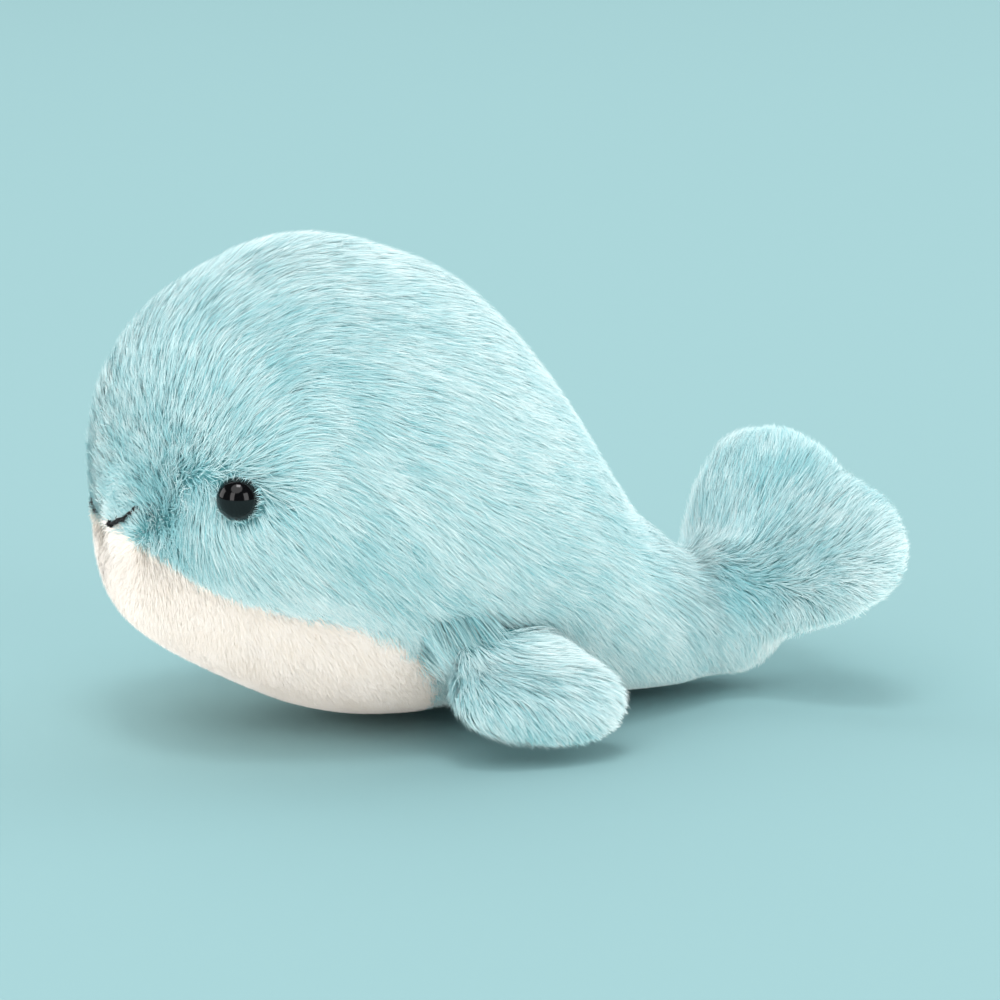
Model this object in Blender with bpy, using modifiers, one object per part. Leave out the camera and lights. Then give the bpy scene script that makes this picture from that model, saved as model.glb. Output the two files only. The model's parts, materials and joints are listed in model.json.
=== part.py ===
"""A plush whale as it is sewn, in metres, +Z up, nose towards -X.

Pile fabric panels lie over fibre filling. Each panel's solid is the fabric with its pile.
Safety eyes are clamped by washers, the mouth is stitched, and the flippers and the tail
swing on their root seams.
"""

import math

import bmesh
import bpy
from mathutils import Matrix, Vector
from mathutils.bvhtree import BVHTree

# Body, from the nose to the line where the tail swings
BODY_LENGTH = 0.1985
BODY_HEIGHT = 0.1485
BODY_HALF_WIDTH = 0.0665
BODY_PILE = 0.008
NOSE_HEIGHT = 0.067
NOSE_SETBACK = 0.0025
REST_DEPTH = 0.0005
SEAM_GAP = 0.0003
WELD_DISTANCE = 0.00001

# Belly panel: height of its edge under the mouth and its length back to its rear edge
BELLY_EDGE_HEIGHT = 0.0625
BELLY_LENGTH = 0.099

# Safety eyes
EYE_DIAMETER = 0.0124
EYE_DOME_HEIGHT = 0.0058
EYE_RIM = 0.0008
EYE_SINK = 0.0034
EYE_SHANK_DIAMETER = 0.0032
EYE_SHANK_TAIL = 0.003
WASHER_DIAMETER = 0.0105
WASHER_THICKNESS = 0.0012
WASHER_STANDOFF = 0.0004
WASHER_RIM_RAYS = 12
EYE_BACK = 0.0295
EYE_HEIGHT = 0.0785

# Stitched mouth
MOUTH_HALF_WIDTH = 0.0265
MOUTH_HEIGHT = 0.0643
MOUTH_RISE = 0.0088
MOUTH_THREAD_RADIUS = 0.0010
MOUTH_THREAD_LIFT = 0.0004

# Flippers: root seam on the side panel and paddle hanging from it
FLIPPER_ROOT_BACK = 0.109
FLIPPER_ROOT_HEIGHT = 0.032
FLIPPER_ROOT_HALF_LENGTH = 0.019
FLIPPER_ROOT_RADIUS = 0.0034
FLIPPER_WIDTH = 0.063
FLIPPER_LENGTH = 0.039
FLIPPER_THICKNESS = 0.022
FLIPPER_PILE = 0.005
FLIPPER_DROOP = math.radians(42)

# Tail: ball root in the body's rear, short stock and two lobes
TAIL_BALL_RADIUS = 0.0225
TAIL_BALL_HALF_WIDTH = 0.0255
TAIL_BALL_LIFT = 0.0010
TAIL_SWING_CLEARANCE = 0.0006
TAIL_LENGTH = 0.063
TAIL_HALF_SPAN = 0.057
TAIL_THICKNESS = 0.024
TAIL_ROOT_THICKNESS = 0.034
TAIL_PILE = 0.0055
TAIL_RISE = math.radians(45)
TAIL_ROLL = math.radians(21)
TAIL_TURN = math.radians(8)
TAIL_RIM_TILT = math.radians(23)
TAIL_RIM_SETBACK = 0.006

# How far cutters run past what they cut
OVERRUN = 0.05

TAIL_HINGE = Vector((BODY_LENGTH, 0, TAIL_BALL_RADIUS + TAIL_BALL_LIFT))

# Rows of the body from nose to tail: distance back, top, underside, half width
BODY_ROW_SHARES = (
    (0.016, 0.675, 0.277, 0.32),
    (0.052, 0.770, 0.215, 0.55),
    (0.104, 0.862, 0.166, 0.745),
    (0.176, 0.918, 0.121, 0.885),
    (0.270, 0.984, 0.055, 0.975),
    (0.370, 1.000, 0.0, 1.01),
    (0.470, 0.955, 0.0, 0.995),
    (0.566, 0.906, 0.0, 0.94),
    (0.648, 0.796, 0.0, 0.86),
    (0.728, 0.655, 0.0, 0.76),
    (0.800, 0.488, 0.0, 0.645),
    (0.862, 0.362, 0.0, 0.54),
)
# Rows about the tail's ball: distance back as a share of the body, size as a share of the ball
RIM_ROW_SHARES = ((0.925, 1.13), (0.965, 1.0))
# Height of the widest line between the underside and the top
BODY_BELT_SHARE = 0.46
BODY_SEGMENTS = 16
# Least part of a limb's thickness that its filling takes
LEAST_CORE_SHARE = 0.3
# A flipper's thickness at its root, in root radii, and where it has grown to its full one
FLIPPER_ROOT_THICKNESS_SHARE = 1.8
FLIPPER_PLUMP_SHARE = 0.45
# Where the tail has thinned to its lobes, and the depth and width of the dip along its middle
TAIL_THIN_SHARE = 0.75
TAIL_DIP_SHARES = (0.22, 0.22)
GROOVE_LENGTH_SHARE = 1.1

# Upper edge of the belly panel: distance back and height, as shares of its length and height
BELLY_EDGE_SHARES = (
    (0.0, 1.0),
    (0.10, 0.93),
    (0.24, 0.79),
    (0.45, 0.68),
    (0.66, 0.60),
    (0.82, 0.46),
    (0.93, 0.22),
    (1.0, -0.12),
)

# Outline of a flipper: back along its width, out along its length
FLIPPER_OUTLINE_SHARES = (
    (-0.28, 0.0),
    (-0.39, 0.24),
    (-0.435, 0.53),
    (-0.37, 0.74),
    (-0.20, 0.90),
    (-0.01, 0.98),
    (0.19, 1.02),
    (0.37, 0.98),
    (0.49, 0.83),
    (0.56, 0.64),
    (0.53, 0.44),
    (0.44, 0.27),
    (0.35, 0.12),
    (0.26, -0.02),
    (0.10, -0.112),
    (-0.12, -0.112),
)
FLIPPER_CENTRE_SHARES = (0.05, 0.50)

# Half outline of the tail: out along its length, across its half span
TAIL_OUTLINE_SHARES = (
    (-0.10, 0.0),
    (-0.08, 0.25),
    (0.0, 0.45),
    (0.14, 0.62),
    (0.29, 0.81),
    (0.48, 0.96),
    (0.67, 1.02),
    (0.84, 0.93),
    (0.96, 0.70),
    (1.02, 0.44),
    (1.00, 0.17),
    (0.96, 0.0),
)
TAIL_CENTRE_SHARES = (0.50, 0.0)

AQUA = (0.36, 0.63, 0.65, 1.0)
WHITE = (0.86, 0.83, 0.78, 1.0)
BLACK = (0.012, 0.012, 0.014, 1.0)
FIBRE = (0.90, 0.90, 0.88, 1.0)
PALE = (0.80, 0.80, 0.78, 1.0)


def empty_scene():
    """Removes what the scene holds."""
    for item in list(bpy.data.objects):
        bpy.data.objects.remove(item, do_unlink=True)
    for old in list(bpy.data.collections):
        bpy.data.collections.remove(old)


def collection(name):
    """A new collection in the scene."""
    made = bpy.data.collections.new(name)
    bpy.context.scene.collection.children.link(made)
    return made


def material(name, colour, roughness):
    """A Principled material."""
    made = bpy.data.materials.new(name)
    made.use_nodes = True
    shader = made.node_tree.nodes["Principled BSDF"]
    shader.inputs["Base Color"].default_value = colour
    shader.inputs["Roughness"].default_value = roughness
    shader.inputs["Metallic"].default_value = 0.0
    made.diffuse_color = colour
    return made


def place(name, mesh, group, matrix=None, parent=None):
    """An object of the mesh in a collection, with its place in the world."""
    item = bpy.data.objects.new(name, mesh)
    group.objects.link(item)
    if parent is not None:
        item.parent = parent
        item.matrix_parent_inverse = parent.matrix_world.inverted()
    item.matrix_world = matrix if matrix is not None else Matrix.Identity(4)
    return item


def as_cutter(item):
    """Marks an object as a cutter."""
    item.hide_render = True
    item.display_type = "WIRE"
    return item


def cut(item, other, operation="DIFFERENCE"):
    """Adds an exact Boolean modifier."""
    modifier = item.modifiers.new(other.name, "BOOLEAN")
    modifier.operation = operation
    modifier.solver = "EXACT"
    modifier.object = other


def smooth_cage(item, levels):
    """Subdivides a cage the same way in the view and in a render, into flat faces."""
    modifier = item.modifiers.new("smooth", "SUBSURF")
    modifier.levels = levels
    modifier.render_levels = levels
    item.modifiers.new("flat_faces", "TRIANGULATE")


def shade(mesh, angle=math.radians(50)):
    """Smooth shading with sharp edges kept."""
    mesh.shade_smooth()
    mesh.set_sharp_from_angle(angle=angle)


def evaluated_mesh(item, name):
    """The object's evaluated mesh, its loose caps joined."""
    bpy.context.view_layer.update()
    graph = bpy.context.evaluated_depsgraph_get()
    mesh = bpy.data.meshes.new_from_object(item.evaluated_get(graph))
    mesh.name = name
    work = bmesh.new()
    work.from_mesh(mesh)
    bmesh.ops.remove_doubles(work, verts=work.verts, dist=WELD_DISTANCE)
    bmesh.ops.recalc_face_normals(work, faces=work.faces)
    bmesh.ops.triangulate(work, faces=work.faces)
    work.to_mesh(mesh)
    work.free()
    return mesh


def surface_of(item):
    """The evaluated surface of an object that sits at the origin, for casting rays on."""
    bpy.context.view_layer.update()
    return BVHTree.FromObject(item, bpy.context.evaluated_depsgraph_get())


def mesh_of(work, name):
    """Turns a bmesh into a mesh with its faces pointing out."""
    work.normal_update()
    bmesh.ops.recalc_face_normals(work, faces=work.faces)
    mesh = bpy.data.meshes.new(name)
    work.to_mesh(mesh)
    work.free()
    shade(mesh)
    return mesh


def split_faces(work):
    """Splits quads along the same diagonals in every cage, so that nested ones stay apart."""
    bmesh.ops.triangulate(work, faces=work.faces, quad_method="FIXED")


def sphere_rows(segments, rows):
    """A unit sphere with each vertex's row, counted from its top pole, and its turn."""
    work = bmesh.new()
    bmesh.ops.create_uvsphere(work, u_segments=segments, v_segments=rows + 1, radius=1.0)
    places = []
    for vertex in work.verts:
        row = round(math.acos(max(-1.0, min(1.0, vertex.co.z))) / math.pi * (rows + 1))
        places.append((vertex, row, math.atan2(vertex.co.y, vertex.co.x)))
    return work, places


def body_rows(inset):
    """The body's rows as x, top, underside and half width, drawn in by the inset."""
    rows = []
    stretch = (TAIL_HINGE.x - inset) / TAIL_HINGE.x
    for along, top, bottom, width in BODY_ROW_SHARES:
        rows.append((
            inset + along * BODY_LENGTH * stretch,
            top * BODY_HEIGHT - inset,
            bottom * BODY_HEIGHT - REST_DEPTH + inset,
            width * BODY_HALF_WIDTH - inset * min(1.0, 2 * width),
        ))
    for along, size in RIM_ROW_SHARES:
        rows.append((
            inset + along * BODY_LENGTH * stretch,
            TAIL_HINGE.z + size * TAIL_BALL_RADIUS - inset,
            TAIL_HINGE.z - size * TAIL_BALL_RADIUS + inset,
            size * TAIL_BALL_HALF_WIDTH - inset,
        ))
    return rows


def body_cage(name, inset):
    """The body as a cage, its poles at the nose and inside the tail's ball."""
    rows = body_rows(inset)
    work, places = sphere_rows(BODY_SEGMENTS, len(rows))
    swell = 1 / math.cos(math.pi / BODY_SEGMENTS)
    for vertex, row, turn in places:
        if row == 0:
            vertex.co = Vector((inset + NOSE_SETBACK, 0, NOSE_HEIGHT))
        elif row > len(rows):
            vertex.co = Vector((TAIL_HINGE.x - inset, 0, TAIL_HINGE.z))
        else:
            x, top, bottom, width = rows[row - 1]
            belt = bottom + BODY_BELT_SHARE * (top - bottom)
            rise = (top - belt) if math.sin(turn) > 0 else (belt - bottom)
            across = -width * math.cos(turn) * swell
            vertex.co = Vector((x, across, belt + rise * math.sin(turn) * swell))
    if inset > 0:
        split_faces(work)
    return mesh_of(work, name)


def pillow_cage(name, outline, centre, thickness_at, pile, gap, rows=5):
    """A closed pillow over an outline, drawn in by the pile's depth and a gap.

    Its x and y follow the outline, its z the thickness.
    """
    work, places = sphere_rows(len(outline), rows)
    middle = Vector(centre)
    for vertex, row, turn in places:
        lean = math.pi * row / (rows + 1)
        index = round(turn / (2 * math.pi) * len(outline)) % len(outline)
        away = Vector(outline[index]) - middle
        away = away * (1 - (pile + gap) / away.length)
        flat = middle + away * math.sin(lean) ** 0.7
        half = thickness_at(flat) / 2
        half = max(half - pile, half * LEAST_CORE_SHARE) - gap
        vertex.co = Vector((flat.x, flat.y, half * math.cos(lean)))
    if pile > 0:
        split_faces(work)
    return mesh_of(work, name)


def ease(share):
    """A smooth step from 0 to 1."""
    share = max(0.0, min(1.0, share))
    return share * share * (3 - 2 * share)


def flipper_thickness(flat):
    """Thin at the root seam, plump over the paddle."""
    root = FLIPPER_ROOT_THICKNESS_SHARE * FLIPPER_ROOT_RADIUS
    share = ease(abs(flat.y) / FLIPPER_LENGTH / FLIPPER_PLUMP_SHARE)
    return root + (FLIPPER_THICKNESS - root) * share


def tail_thickness(flat):
    """Thick over the stock, thinner over the lobes, with a dip along the middle."""
    share = ease(flat.x / TAIL_LENGTH / TAIL_THIN_SHARE)
    plain = TAIL_ROOT_THICKNESS + (TAIL_THICKNESS - TAIL_ROOT_THICKNESS) * share
    depth, width = TAIL_DIP_SHARES
    dip = depth * share * math.exp(-((flat.y / TAIL_HALF_SPAN / width) ** 2))
    return plain * (1 - dip)


def flipper_cage(name, side, pile, gap):
    """A flipper's form. Its x runs back along the hinge, its y out from the root."""
    outline = [
        (back * FLIPPER_WIDTH, out * FLIPPER_LENGTH * side)
        for back, out in FLIPPER_OUTLINE_SHARES
    ]
    centre = (
        FLIPPER_CENTRE_SHARES[0] * FLIPPER_WIDTH,
        FLIPPER_CENTRE_SHARES[1] * FLIPPER_LENGTH * side,
    )
    return pillow_cage(name, outline, centre, flipper_thickness, pile, gap)


def tail_cage(name, pile, gap):
    """The tail's lobes and stock. Its x runs out from the hinge, its y across."""
    half = [(out * TAIL_LENGTH, across * TAIL_HALF_SPAN) for out, across in TAIL_OUTLINE_SHARES]
    outline = half + [(x, -y) for x, y in reversed(half[1:-1])]
    centre = (TAIL_CENTRE_SHARES[0] * TAIL_LENGTH, TAIL_CENTRE_SHARES[1] * TAIL_HALF_SPAN)
    return pillow_cage(name, outline, centre, tail_thickness, pile, gap)


def ball_mesh(name, radius, half_width, segments=24, rings=12):
    """A ball turned about the y axis."""
    work = bmesh.new()
    bmesh.ops.create_uvsphere(work, u_segments=segments, v_segments=rings, radius=1.0)
    turn = Matrix.Rotation(math.radians(90), 4, "X")
    size = Matrix.Diagonal((radius, half_width, radius, 1.0))
    bmesh.ops.transform(work, matrix=size @ turn, verts=work.verts)
    return mesh_of(work, name)


def box_mesh(name, low, high):
    """A box between two corners."""
    work = bmesh.new()
    bmesh.ops.create_cube(work, size=1.0)
    middle = (Vector(low) + Vector(high)) / 2
    size = Vector(high) - Vector(low)
    matrix = Matrix.Translation(middle) @ Matrix.Diagonal((size.x, size.y, size.z, 1.0))
    bmesh.ops.transform(work, matrix=matrix, verts=work.verts)
    return mesh_of(work, name)


def rod_mesh(name, radius, low, high, segments=20):
    """A cylinder along z between two heights."""
    work = bmesh.new()
    bmesh.ops.create_cone(
        work, cap_ends=True, segments=segments, radius1=radius, radius2=radius, depth=high - low
    )
    bmesh.ops.translate(work, verts=work.verts, vec=(0, 0, (low + high) / 2))
    return mesh_of(work, name)


def smooth_line(points, steps):
    """Points along a smooth line through the given ones."""
    ends = [points[0] * 2 - points[1]] + points + [points[-1] * 2 - points[-2]]
    line = []
    for before, first, second, after in zip(ends, ends[1:], ends[2:], ends[3:]):
        for step in range(steps):
            share = step / steps
            line.append((
                first * 2
                + (second - before) * share
                + (before * 2 - first * 5 + second * 4 - after) * share ** 2
                + (first * 3 - before - second * 3 + after) * share ** 3
            ) / 2)
    return line + [points[-1]]


def extrusion_mesh(name, outline, depth):
    """An outline in x and z extruded along y."""
    curve = bpy.data.curves.new(name, "CURVE")
    curve.dimensions = "2D"
    curve.fill_mode = "BOTH"
    curve.extrude = depth / 2
    spline = curve.splines.new("POLY")
    spline.points.add(len(outline) - 1)
    spline.use_cyclic_u = True
    for point, place_at in zip(spline.points, outline):
        point.co = (place_at.x, place_at.y, 0, 1)
    item = bpy.data.objects.new(name, curve)
    bpy.context.scene.collection.objects.link(item)
    mesh = evaluated_mesh(item, name)
    bpy.data.objects.remove(item)
    mesh.transform(Matrix.Rotation(math.radians(90), 4, "X"))
    mesh.update()
    return mesh


def thread_mesh(name, points, radius, widths):
    """A thread through the points, its radius scaled at each by a width."""
    curve = bpy.data.curves.new(name, "CURVE")
    curve.dimensions = "3D"
    curve.bevel_depth = radius
    curve.bevel_resolution = 2
    curve.use_fill_caps = True
    spline = curve.splines.new("POLY")
    spline.points.add(len(points) - 1)
    for point, place_at, width in zip(spline.points, points, widths):
        point.co = (*place_at, 1.0)
        point.radius = width
    item = bpy.data.objects.new(name, curve)
    bpy.context.scene.collection.objects.link(item)
    mesh = evaluated_mesh(item, name)
    bpy.data.objects.remove(item)
    shade(mesh)
    return mesh


def turned(item, profile, steps):
    """Fills the object's mesh with a profile in x and z and turns it about z."""
    work = bmesh.new()
    points = [work.verts.new((x, 0, z)) for x, z in profile]
    for first, second in zip(points, points[1:]):
        work.edges.new((first, second))
    work.to_mesh(item.data)
    work.free()
    screw = item.modifiers.new("turn", "SCREW")
    screw.steps = steps
    screw.render_steps = steps
    screw.use_merge_vertices = True
    screw.merge_threshold = WELD_DISTANCE


def facing(point, direction):
    """A frame at the point with its z along the direction."""
    turn = Vector(direction).to_track_quat("Z", "Y").to_matrix().to_4x4()
    return Matrix.Translation(point) @ turn


def forms_and_cutters(cutters):
    """The body's cavity, its seam planes, the floor plane and the tail's socket."""
    made = {}
    far = BODY_LENGTH + BODY_HEIGHT
    made["cavity"] = place("body_cavity", body_cage("body_cavity", BODY_PILE), cutters)
    edge = smooth_line(
        [
            Vector((back * BELLY_LENGTH, up * BELLY_EDGE_HEIGHT))
            for back, up in BELLY_EDGE_SHARES
        ],
        3,
    )
    corners = [
        Vector((BELLY_LENGTH, -OVERRUN)),
        Vector((-OVERRUN, -OVERRUN)),
        Vector((-OVERRUN, BELLY_EDGE_HEIGHT)),
    ]
    for key, shift in (("belly_field", SEAM_GAP), ("belly_opening", 0)):
        outline = [point - Vector((shift, shift)) for point in edge + corners]
        mesh = extrusion_mesh(key, outline, BODY_HALF_WIDTH * 3)
        made[key] = place(key, mesh, cutters)
    half = SEAM_GAP / 2
    left = box_mesh("left_field", (-OVERRUN, -far, -OVERRUN), (far, -half, far))
    right = box_mesh("right_field", (-OVERRUN, half, -OVERRUN), (far, far, far))
    floor = box_mesh("floor_field", (-OVERRUN, -far, -OVERRUN), (far, far, 0))
    made["left"] = place("left_field", left, cutters)
    made["right"] = place("right_field", right, cutters)
    made["floor"] = place("floor_field", floor, cutters)
    socket = ball_mesh(
        "tail_socket",
        TAIL_BALL_RADIUS + TAIL_SWING_CLEARANCE,
        TAIL_BALL_HALF_WIDTH + TAIL_SWING_CLEARANCE,
    )
    made["socket"] = place("tail_socket", socket, cutters, Matrix.Translation(TAIL_HINGE))
    tilt = Matrix.Translation(TAIL_HINGE) @ Matrix.Rotation(-TAIL_RIM_TILT, 4, "Y")
    rim = box_mesh("rim_field", (-TAIL_RIM_SETBACK, -far, -far), (far, far, far))
    made["rim"] = place("rim_field", rim, cutters, tilt)
    for item in made.values():
        as_cutter(item)
    return made


def add_body(parts, cutters, whale, kinds):
    """The three body panels and the filling. Returns them with the surfaces to seat on."""
    tools = forms_and_cutters(cutters)
    panels = {}
    for name, kind in (
        ("left_side_panel", "aqua"),
        ("right_side_panel", "aqua"),
        ("belly_panel", "white"),
    ):
        item = place(name, body_cage(name, 0), parts, parent=whale)
        item.data.materials.append(kinds[kind])
        smooth_cage(item, 1)
        panels[name] = item
    skin = surface_of(panels["belly_panel"])
    lining = surface_of(tools["cavity"])
    for side in ("left", "right"):
        cut(panels[f"{side}_side_panel"], tools[side], "INTERSECT")
    for item in panels.values():
        cut(item, tools["floor"])
    for side in ("left", "right"):
        cut(panels[f"{side}_side_panel"], tools["belly_opening"])
    cut(panels["belly_panel"], tools["belly_field"], "INTERSECT")
    filling = body_cage("body_filling", BODY_PILE + SEAM_GAP)
    item = place("body_stuffing", filling, parts, parent=whale)
    item.data.materials.append(kinds["fibre"])
    cut(item, tools["socket"])
    panels["body_stuffing"] = item
    return panels, skin, lining, tools


def hollow_panels(panels, tools):
    """Takes the filling's room and the tail's room out of the body panels."""
    cut(panels["belly_panel"], tools["cavity"])
    for side in ("left", "right"):
        for tool in ("cavity", "socket", "rim"):
            cut(panels[f"{side}_side_panel"], tools[tool])


def lining_depth(frame, lining, radius):
    """How far below the frame's face the lining lies, at its deepest under a disc's rim."""
    start = Vector((0, 0, -BODY_PILE / 2))
    inward = frame.to_3x3() @ Vector((0, 0, -1))
    depths = []
    for step in range(WASHER_RIM_RAYS):
        turn = 2 * math.pi * step / WASHER_RIM_RAYS
        rim = start + Vector((radius * math.cos(turn), radius * math.sin(turn), 0))
        depths.append(lining.ray_cast(frame @ rim, inward)[3])
    return BODY_PILE / 2 + max(depths)


def add_eyes(parts, cutters, whale, kinds, panels, skin, lining):
    """Safety eyes through the side panels, each clamped by a washer in the filling."""
    shank = EYE_SHANK_DIAMETER / 2
    radius = EYE_DIAMETER / 2
    for side, name in ((-1, "left"), (1, "right")):
        start = Vector((EYE_BACK, 0, EYE_HEIGHT))
        point, normal, _, _ = skin.ray_cast(start, Vector((0, side, 0)))
        frame = facing(point, normal)
        seat = -EYE_SINK
        washer_top = -(lining_depth(frame, lining, WASHER_DIAMETER / 2) + WASHER_STANDOFF)
        end = washer_top - WASHER_THICKNESS - EYE_SHANK_TAIL
        steps = 6
        dome = [
            (
                radius * math.sin(math.pi / 2 * step / steps),
                seat + EYE_DOME_HEIGHT * math.cos(math.pi / 2 * step / steps),
            )
            for step in range(steps + 1)
        ]
        profile = dome + [
            (radius, seat - EYE_RIM),
            (shank, seat - EYE_RIM),
            (shank, end),
            (0, end),
        ]
        eye = place(f"{name}_eye", bpy.data.meshes.new(f"{name}_eye"), parts, frame, whale)
        turned(eye, profile, 24)
        eye.data.materials.append(kinds["gloss"])
        washer = rod_mesh(
            f"{name}_eye_washer", WASHER_DIAMETER / 2, washer_top - WASHER_THICKNESS, washer_top
        )
        washer = place(f"{name}_eye_washer", washer, parts, frame, whale)
        washer.data.materials.append(kinds["plastic"])
        bore = rod_mesh("bore", shank + SEAM_GAP, end - SEAM_GAP, OVERRUN, 16)
        bore = as_cutter(place(f"{name}_shank_bore", bore, cutters, frame))
        recess = rod_mesh("recess", radius + SEAM_GAP, seat - EYE_RIM - SEAM_GAP, OVERRUN, 28)
        recess = as_cutter(place(f"{name}_eye_recess", recess, cutters, frame))
        pocket = rod_mesh(
            "pocket", WASHER_DIAMETER / 2 + SEAM_GAP, end - SEAM_GAP, washer_top + BODY_PILE
        )
        pocket = as_cutter(place(f"{name}_washer_pocket", pocket, cutters, frame))
        cut(washer, bore)
        panel = panels[f"{name}_side_panel"]
        cut(panel, recess)
        cut(panel, bore)
        cut(panels["body_stuffing"], pocket)


def add_mouth(parts, cutters, whale, kinds, panels, skin):
    """The stitched smile, half sunk into the pile of both side panels."""
    count = 12
    points = []
    widths = []
    for step in range(-count, count + 1):
        share = step / count
        height = MOUTH_HEIGHT + MOUTH_RISE * abs(share) ** 2.2
        start = Vector((BODY_LENGTH / 3, share * MOUTH_HALF_WIDTH, height))
        point, normal, _, _ = skin.ray_cast(start, Vector((-1, 0, 0)))
        points.append(point + normal * MOUTH_THREAD_LIFT)
        widths.append(1.15 - 0.5 * share * share)
    thread = place(
        "mouth_stitches",
        thread_mesh("mouth_stitches", points, MOUTH_THREAD_RADIUS, widths),
        parts,
        parent=whale,
    )
    thread.data.materials.append(kinds["thread"])
    ends = [points[0] * 2 - points[1]] + points + [points[-1] * 2 - points[-2]]
    wide = [widths[0]] + widths + [widths[-1]]
    wide = [width + SEAM_GAP / MOUTH_THREAD_RADIUS for width in wide]
    groove = thread_mesh("mouth_groove", ends, MOUTH_THREAD_RADIUS, wide)
    groove = as_cutter(place("mouth_groove", groove, cutters))
    for name in ("left_side_panel", "right_side_panel"):
        cut(panels[name], groove)


def add_limb(name, cages, frame, parts, cutters, hinge, kinds, joined=None):
    """Upper and lower panels and filling of a limb, from its outer, cavity and filling cages."""
    outer, hollow, filling = cages
    far = BODY_LENGTH
    half = SEAM_GAP / 2
    cavity = as_cutter(place(f"{name}_cavity", hollow, cutters, frame))
    for part, low, high in (
        ("upper", (-far, -far, half), (far, far, far)),
        ("lower", (-far, -far, -far), (far, far, -half)),
    ):
        field = as_cutter(
            place(f"{name}_{part}_field", box_mesh("field", low, high), cutters, frame)
        )
        panel = place(f"{name}_{part}_panel", outer.copy(), parts, frame, hinge)
        panel.data.materials.append(kinds["aqua"])
        smooth_cage(panel, 1)
        if joined is not None:
            cut(panel, joined[0], "UNION")
        cut(panel, cavity)
        cut(panel, field, "INTERSECT")
    stuffing = place(f"{name}_stuffing", filling, parts, frame, hinge)
    stuffing.data.materials.append(kinds["fibre"])
    if joined is not None:
        cut(cavity, joined[1], "UNION")
        cut(stuffing, joined[2], "UNION")


def joint_empty(name, matrix, parts, whale):
    """An empty on a joint's axis, which carries the moving pieces."""
    empty = place(name, None, parts, matrix, whale)
    empty.empty_display_size = FLIPPER_ROOT_HALF_LENGTH
    bpy.context.view_layer.update()
    return empty


def add_flippers(parts, cutters, whale, kinds, panels, skin):
    """Both flippers, each hung from a groove along its root seam."""
    made = []
    for side, name in ((-1, "left"), (1, "right")):
        ends = []
        for back in (-FLIPPER_ROOT_HALF_LENGTH, FLIPPER_ROOT_HALF_LENGTH):
            start = Vector((FLIPPER_ROOT_BACK + back, 0, FLIPPER_ROOT_HEIGHT))
            ends.append(skin.ray_cast(start, Vector((0, side, 0)))[0])
        along = (ends[1] - ends[0]).normalized()
        middle = (ends[0] + ends[1]) / 2
        level = Vector((0, 0, 1)).cross(along) * side
        up = along.cross(level * side)
        out = level * math.cos(FLIPPER_DROOP) - up * math.sin(FLIPPER_DROOP)
        normal = along.cross(out * side)
        frame = Matrix((along, out * side, normal)).transposed().to_4x4()
        frame.translation = middle
        hinge = joint_empty(f"{name}_flipper_hinge", frame, parts, whale)
        cages = [
            flipper_cage(f"{name}_flipper_{part}", side, pile, gap)
            for part, pile, gap in (
                ("form", 0, 0),
                ("hollow", FLIPPER_PILE, 0),
                ("fill", FLIPPER_PILE, SEAM_GAP),
            )
        ]
        add_limb(f"{name}_flipper", cages, frame, parts, cutters, hinge, kinds)
        groove = rod_mesh(
            "groove",
            FLIPPER_ROOT_RADIUS + SEAM_GAP,
            -FLIPPER_ROOT_HALF_LENGTH * GROOVE_LENGTH_SHARE,
            FLIPPER_ROOT_HALF_LENGTH * GROOVE_LENGTH_SHARE,
        )
        turn = frame @ Matrix.Rotation(math.radians(90), 4, "Y")
        groove = as_cutter(place(f"{name}_flipper_groove", groove, cutters, turn))
        cut(panels[f"{name}_side_panel"], groove)
        made.append((hinge, along))
    return made


def add_tail(parts, cutters, whale, kinds):
    """The tail, its ball root centred on the hinge."""
    turn = Matrix.Rotation(-TAIL_TURN, 4, "Z")
    rise = Matrix.Rotation(-TAIL_RISE, 4, "Y")
    roll = Matrix.Rotation(TAIL_ROLL, 4, "X")
    frame = Matrix.Translation(TAIL_HINGE) @ turn @ rise @ roll
    hinge = joint_empty("tail_hinge", Matrix.Translation(TAIL_HINGE), parts, whale)
    cages = []
    balls = []
    for part, pile, gap, segments in (
        ("form", 0, 0, 24),
        ("hollow", TAIL_PILE, 0, 16),
        ("fill", TAIL_PILE, SEAM_GAP, 16),
    ):
        cages.append(tail_cage(f"tail_{part}", pile, gap))
        ball = ball_mesh(
            f"tail_ball_{part}",
            TAIL_BALL_RADIUS - pile - gap,
            TAIL_BALL_HALF_WIDTH - pile - gap,
            segments,
            segments // 2,
        )
        ball = place(f"tail_ball_{part}", ball, cutters, Matrix.Translation(TAIL_HINGE))
        balls.append(as_cutter(ball))
    add_limb("tail", cages, frame, parts, cutters, hinge, kinds, balls)
    return hinge


def corners_of(parts):
    """The lowest and highest corners of the whale's box in the world."""
    bpy.context.view_layer.update()
    graph = bpy.context.evaluated_depsgraph_get()
    low = Vector((math.inf, math.inf, math.inf))
    high = -low
    for item in parts.objects:
        if item.type != "MESH":
            continue
        shown = item.evaluated_get(graph)
        for vertex in shown.data.vertices:
            at = shown.matrix_world @ vertex.co
            low = Vector(map(min, low, at))
            high = Vector(map(max, high, at))
    return low, high


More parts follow.
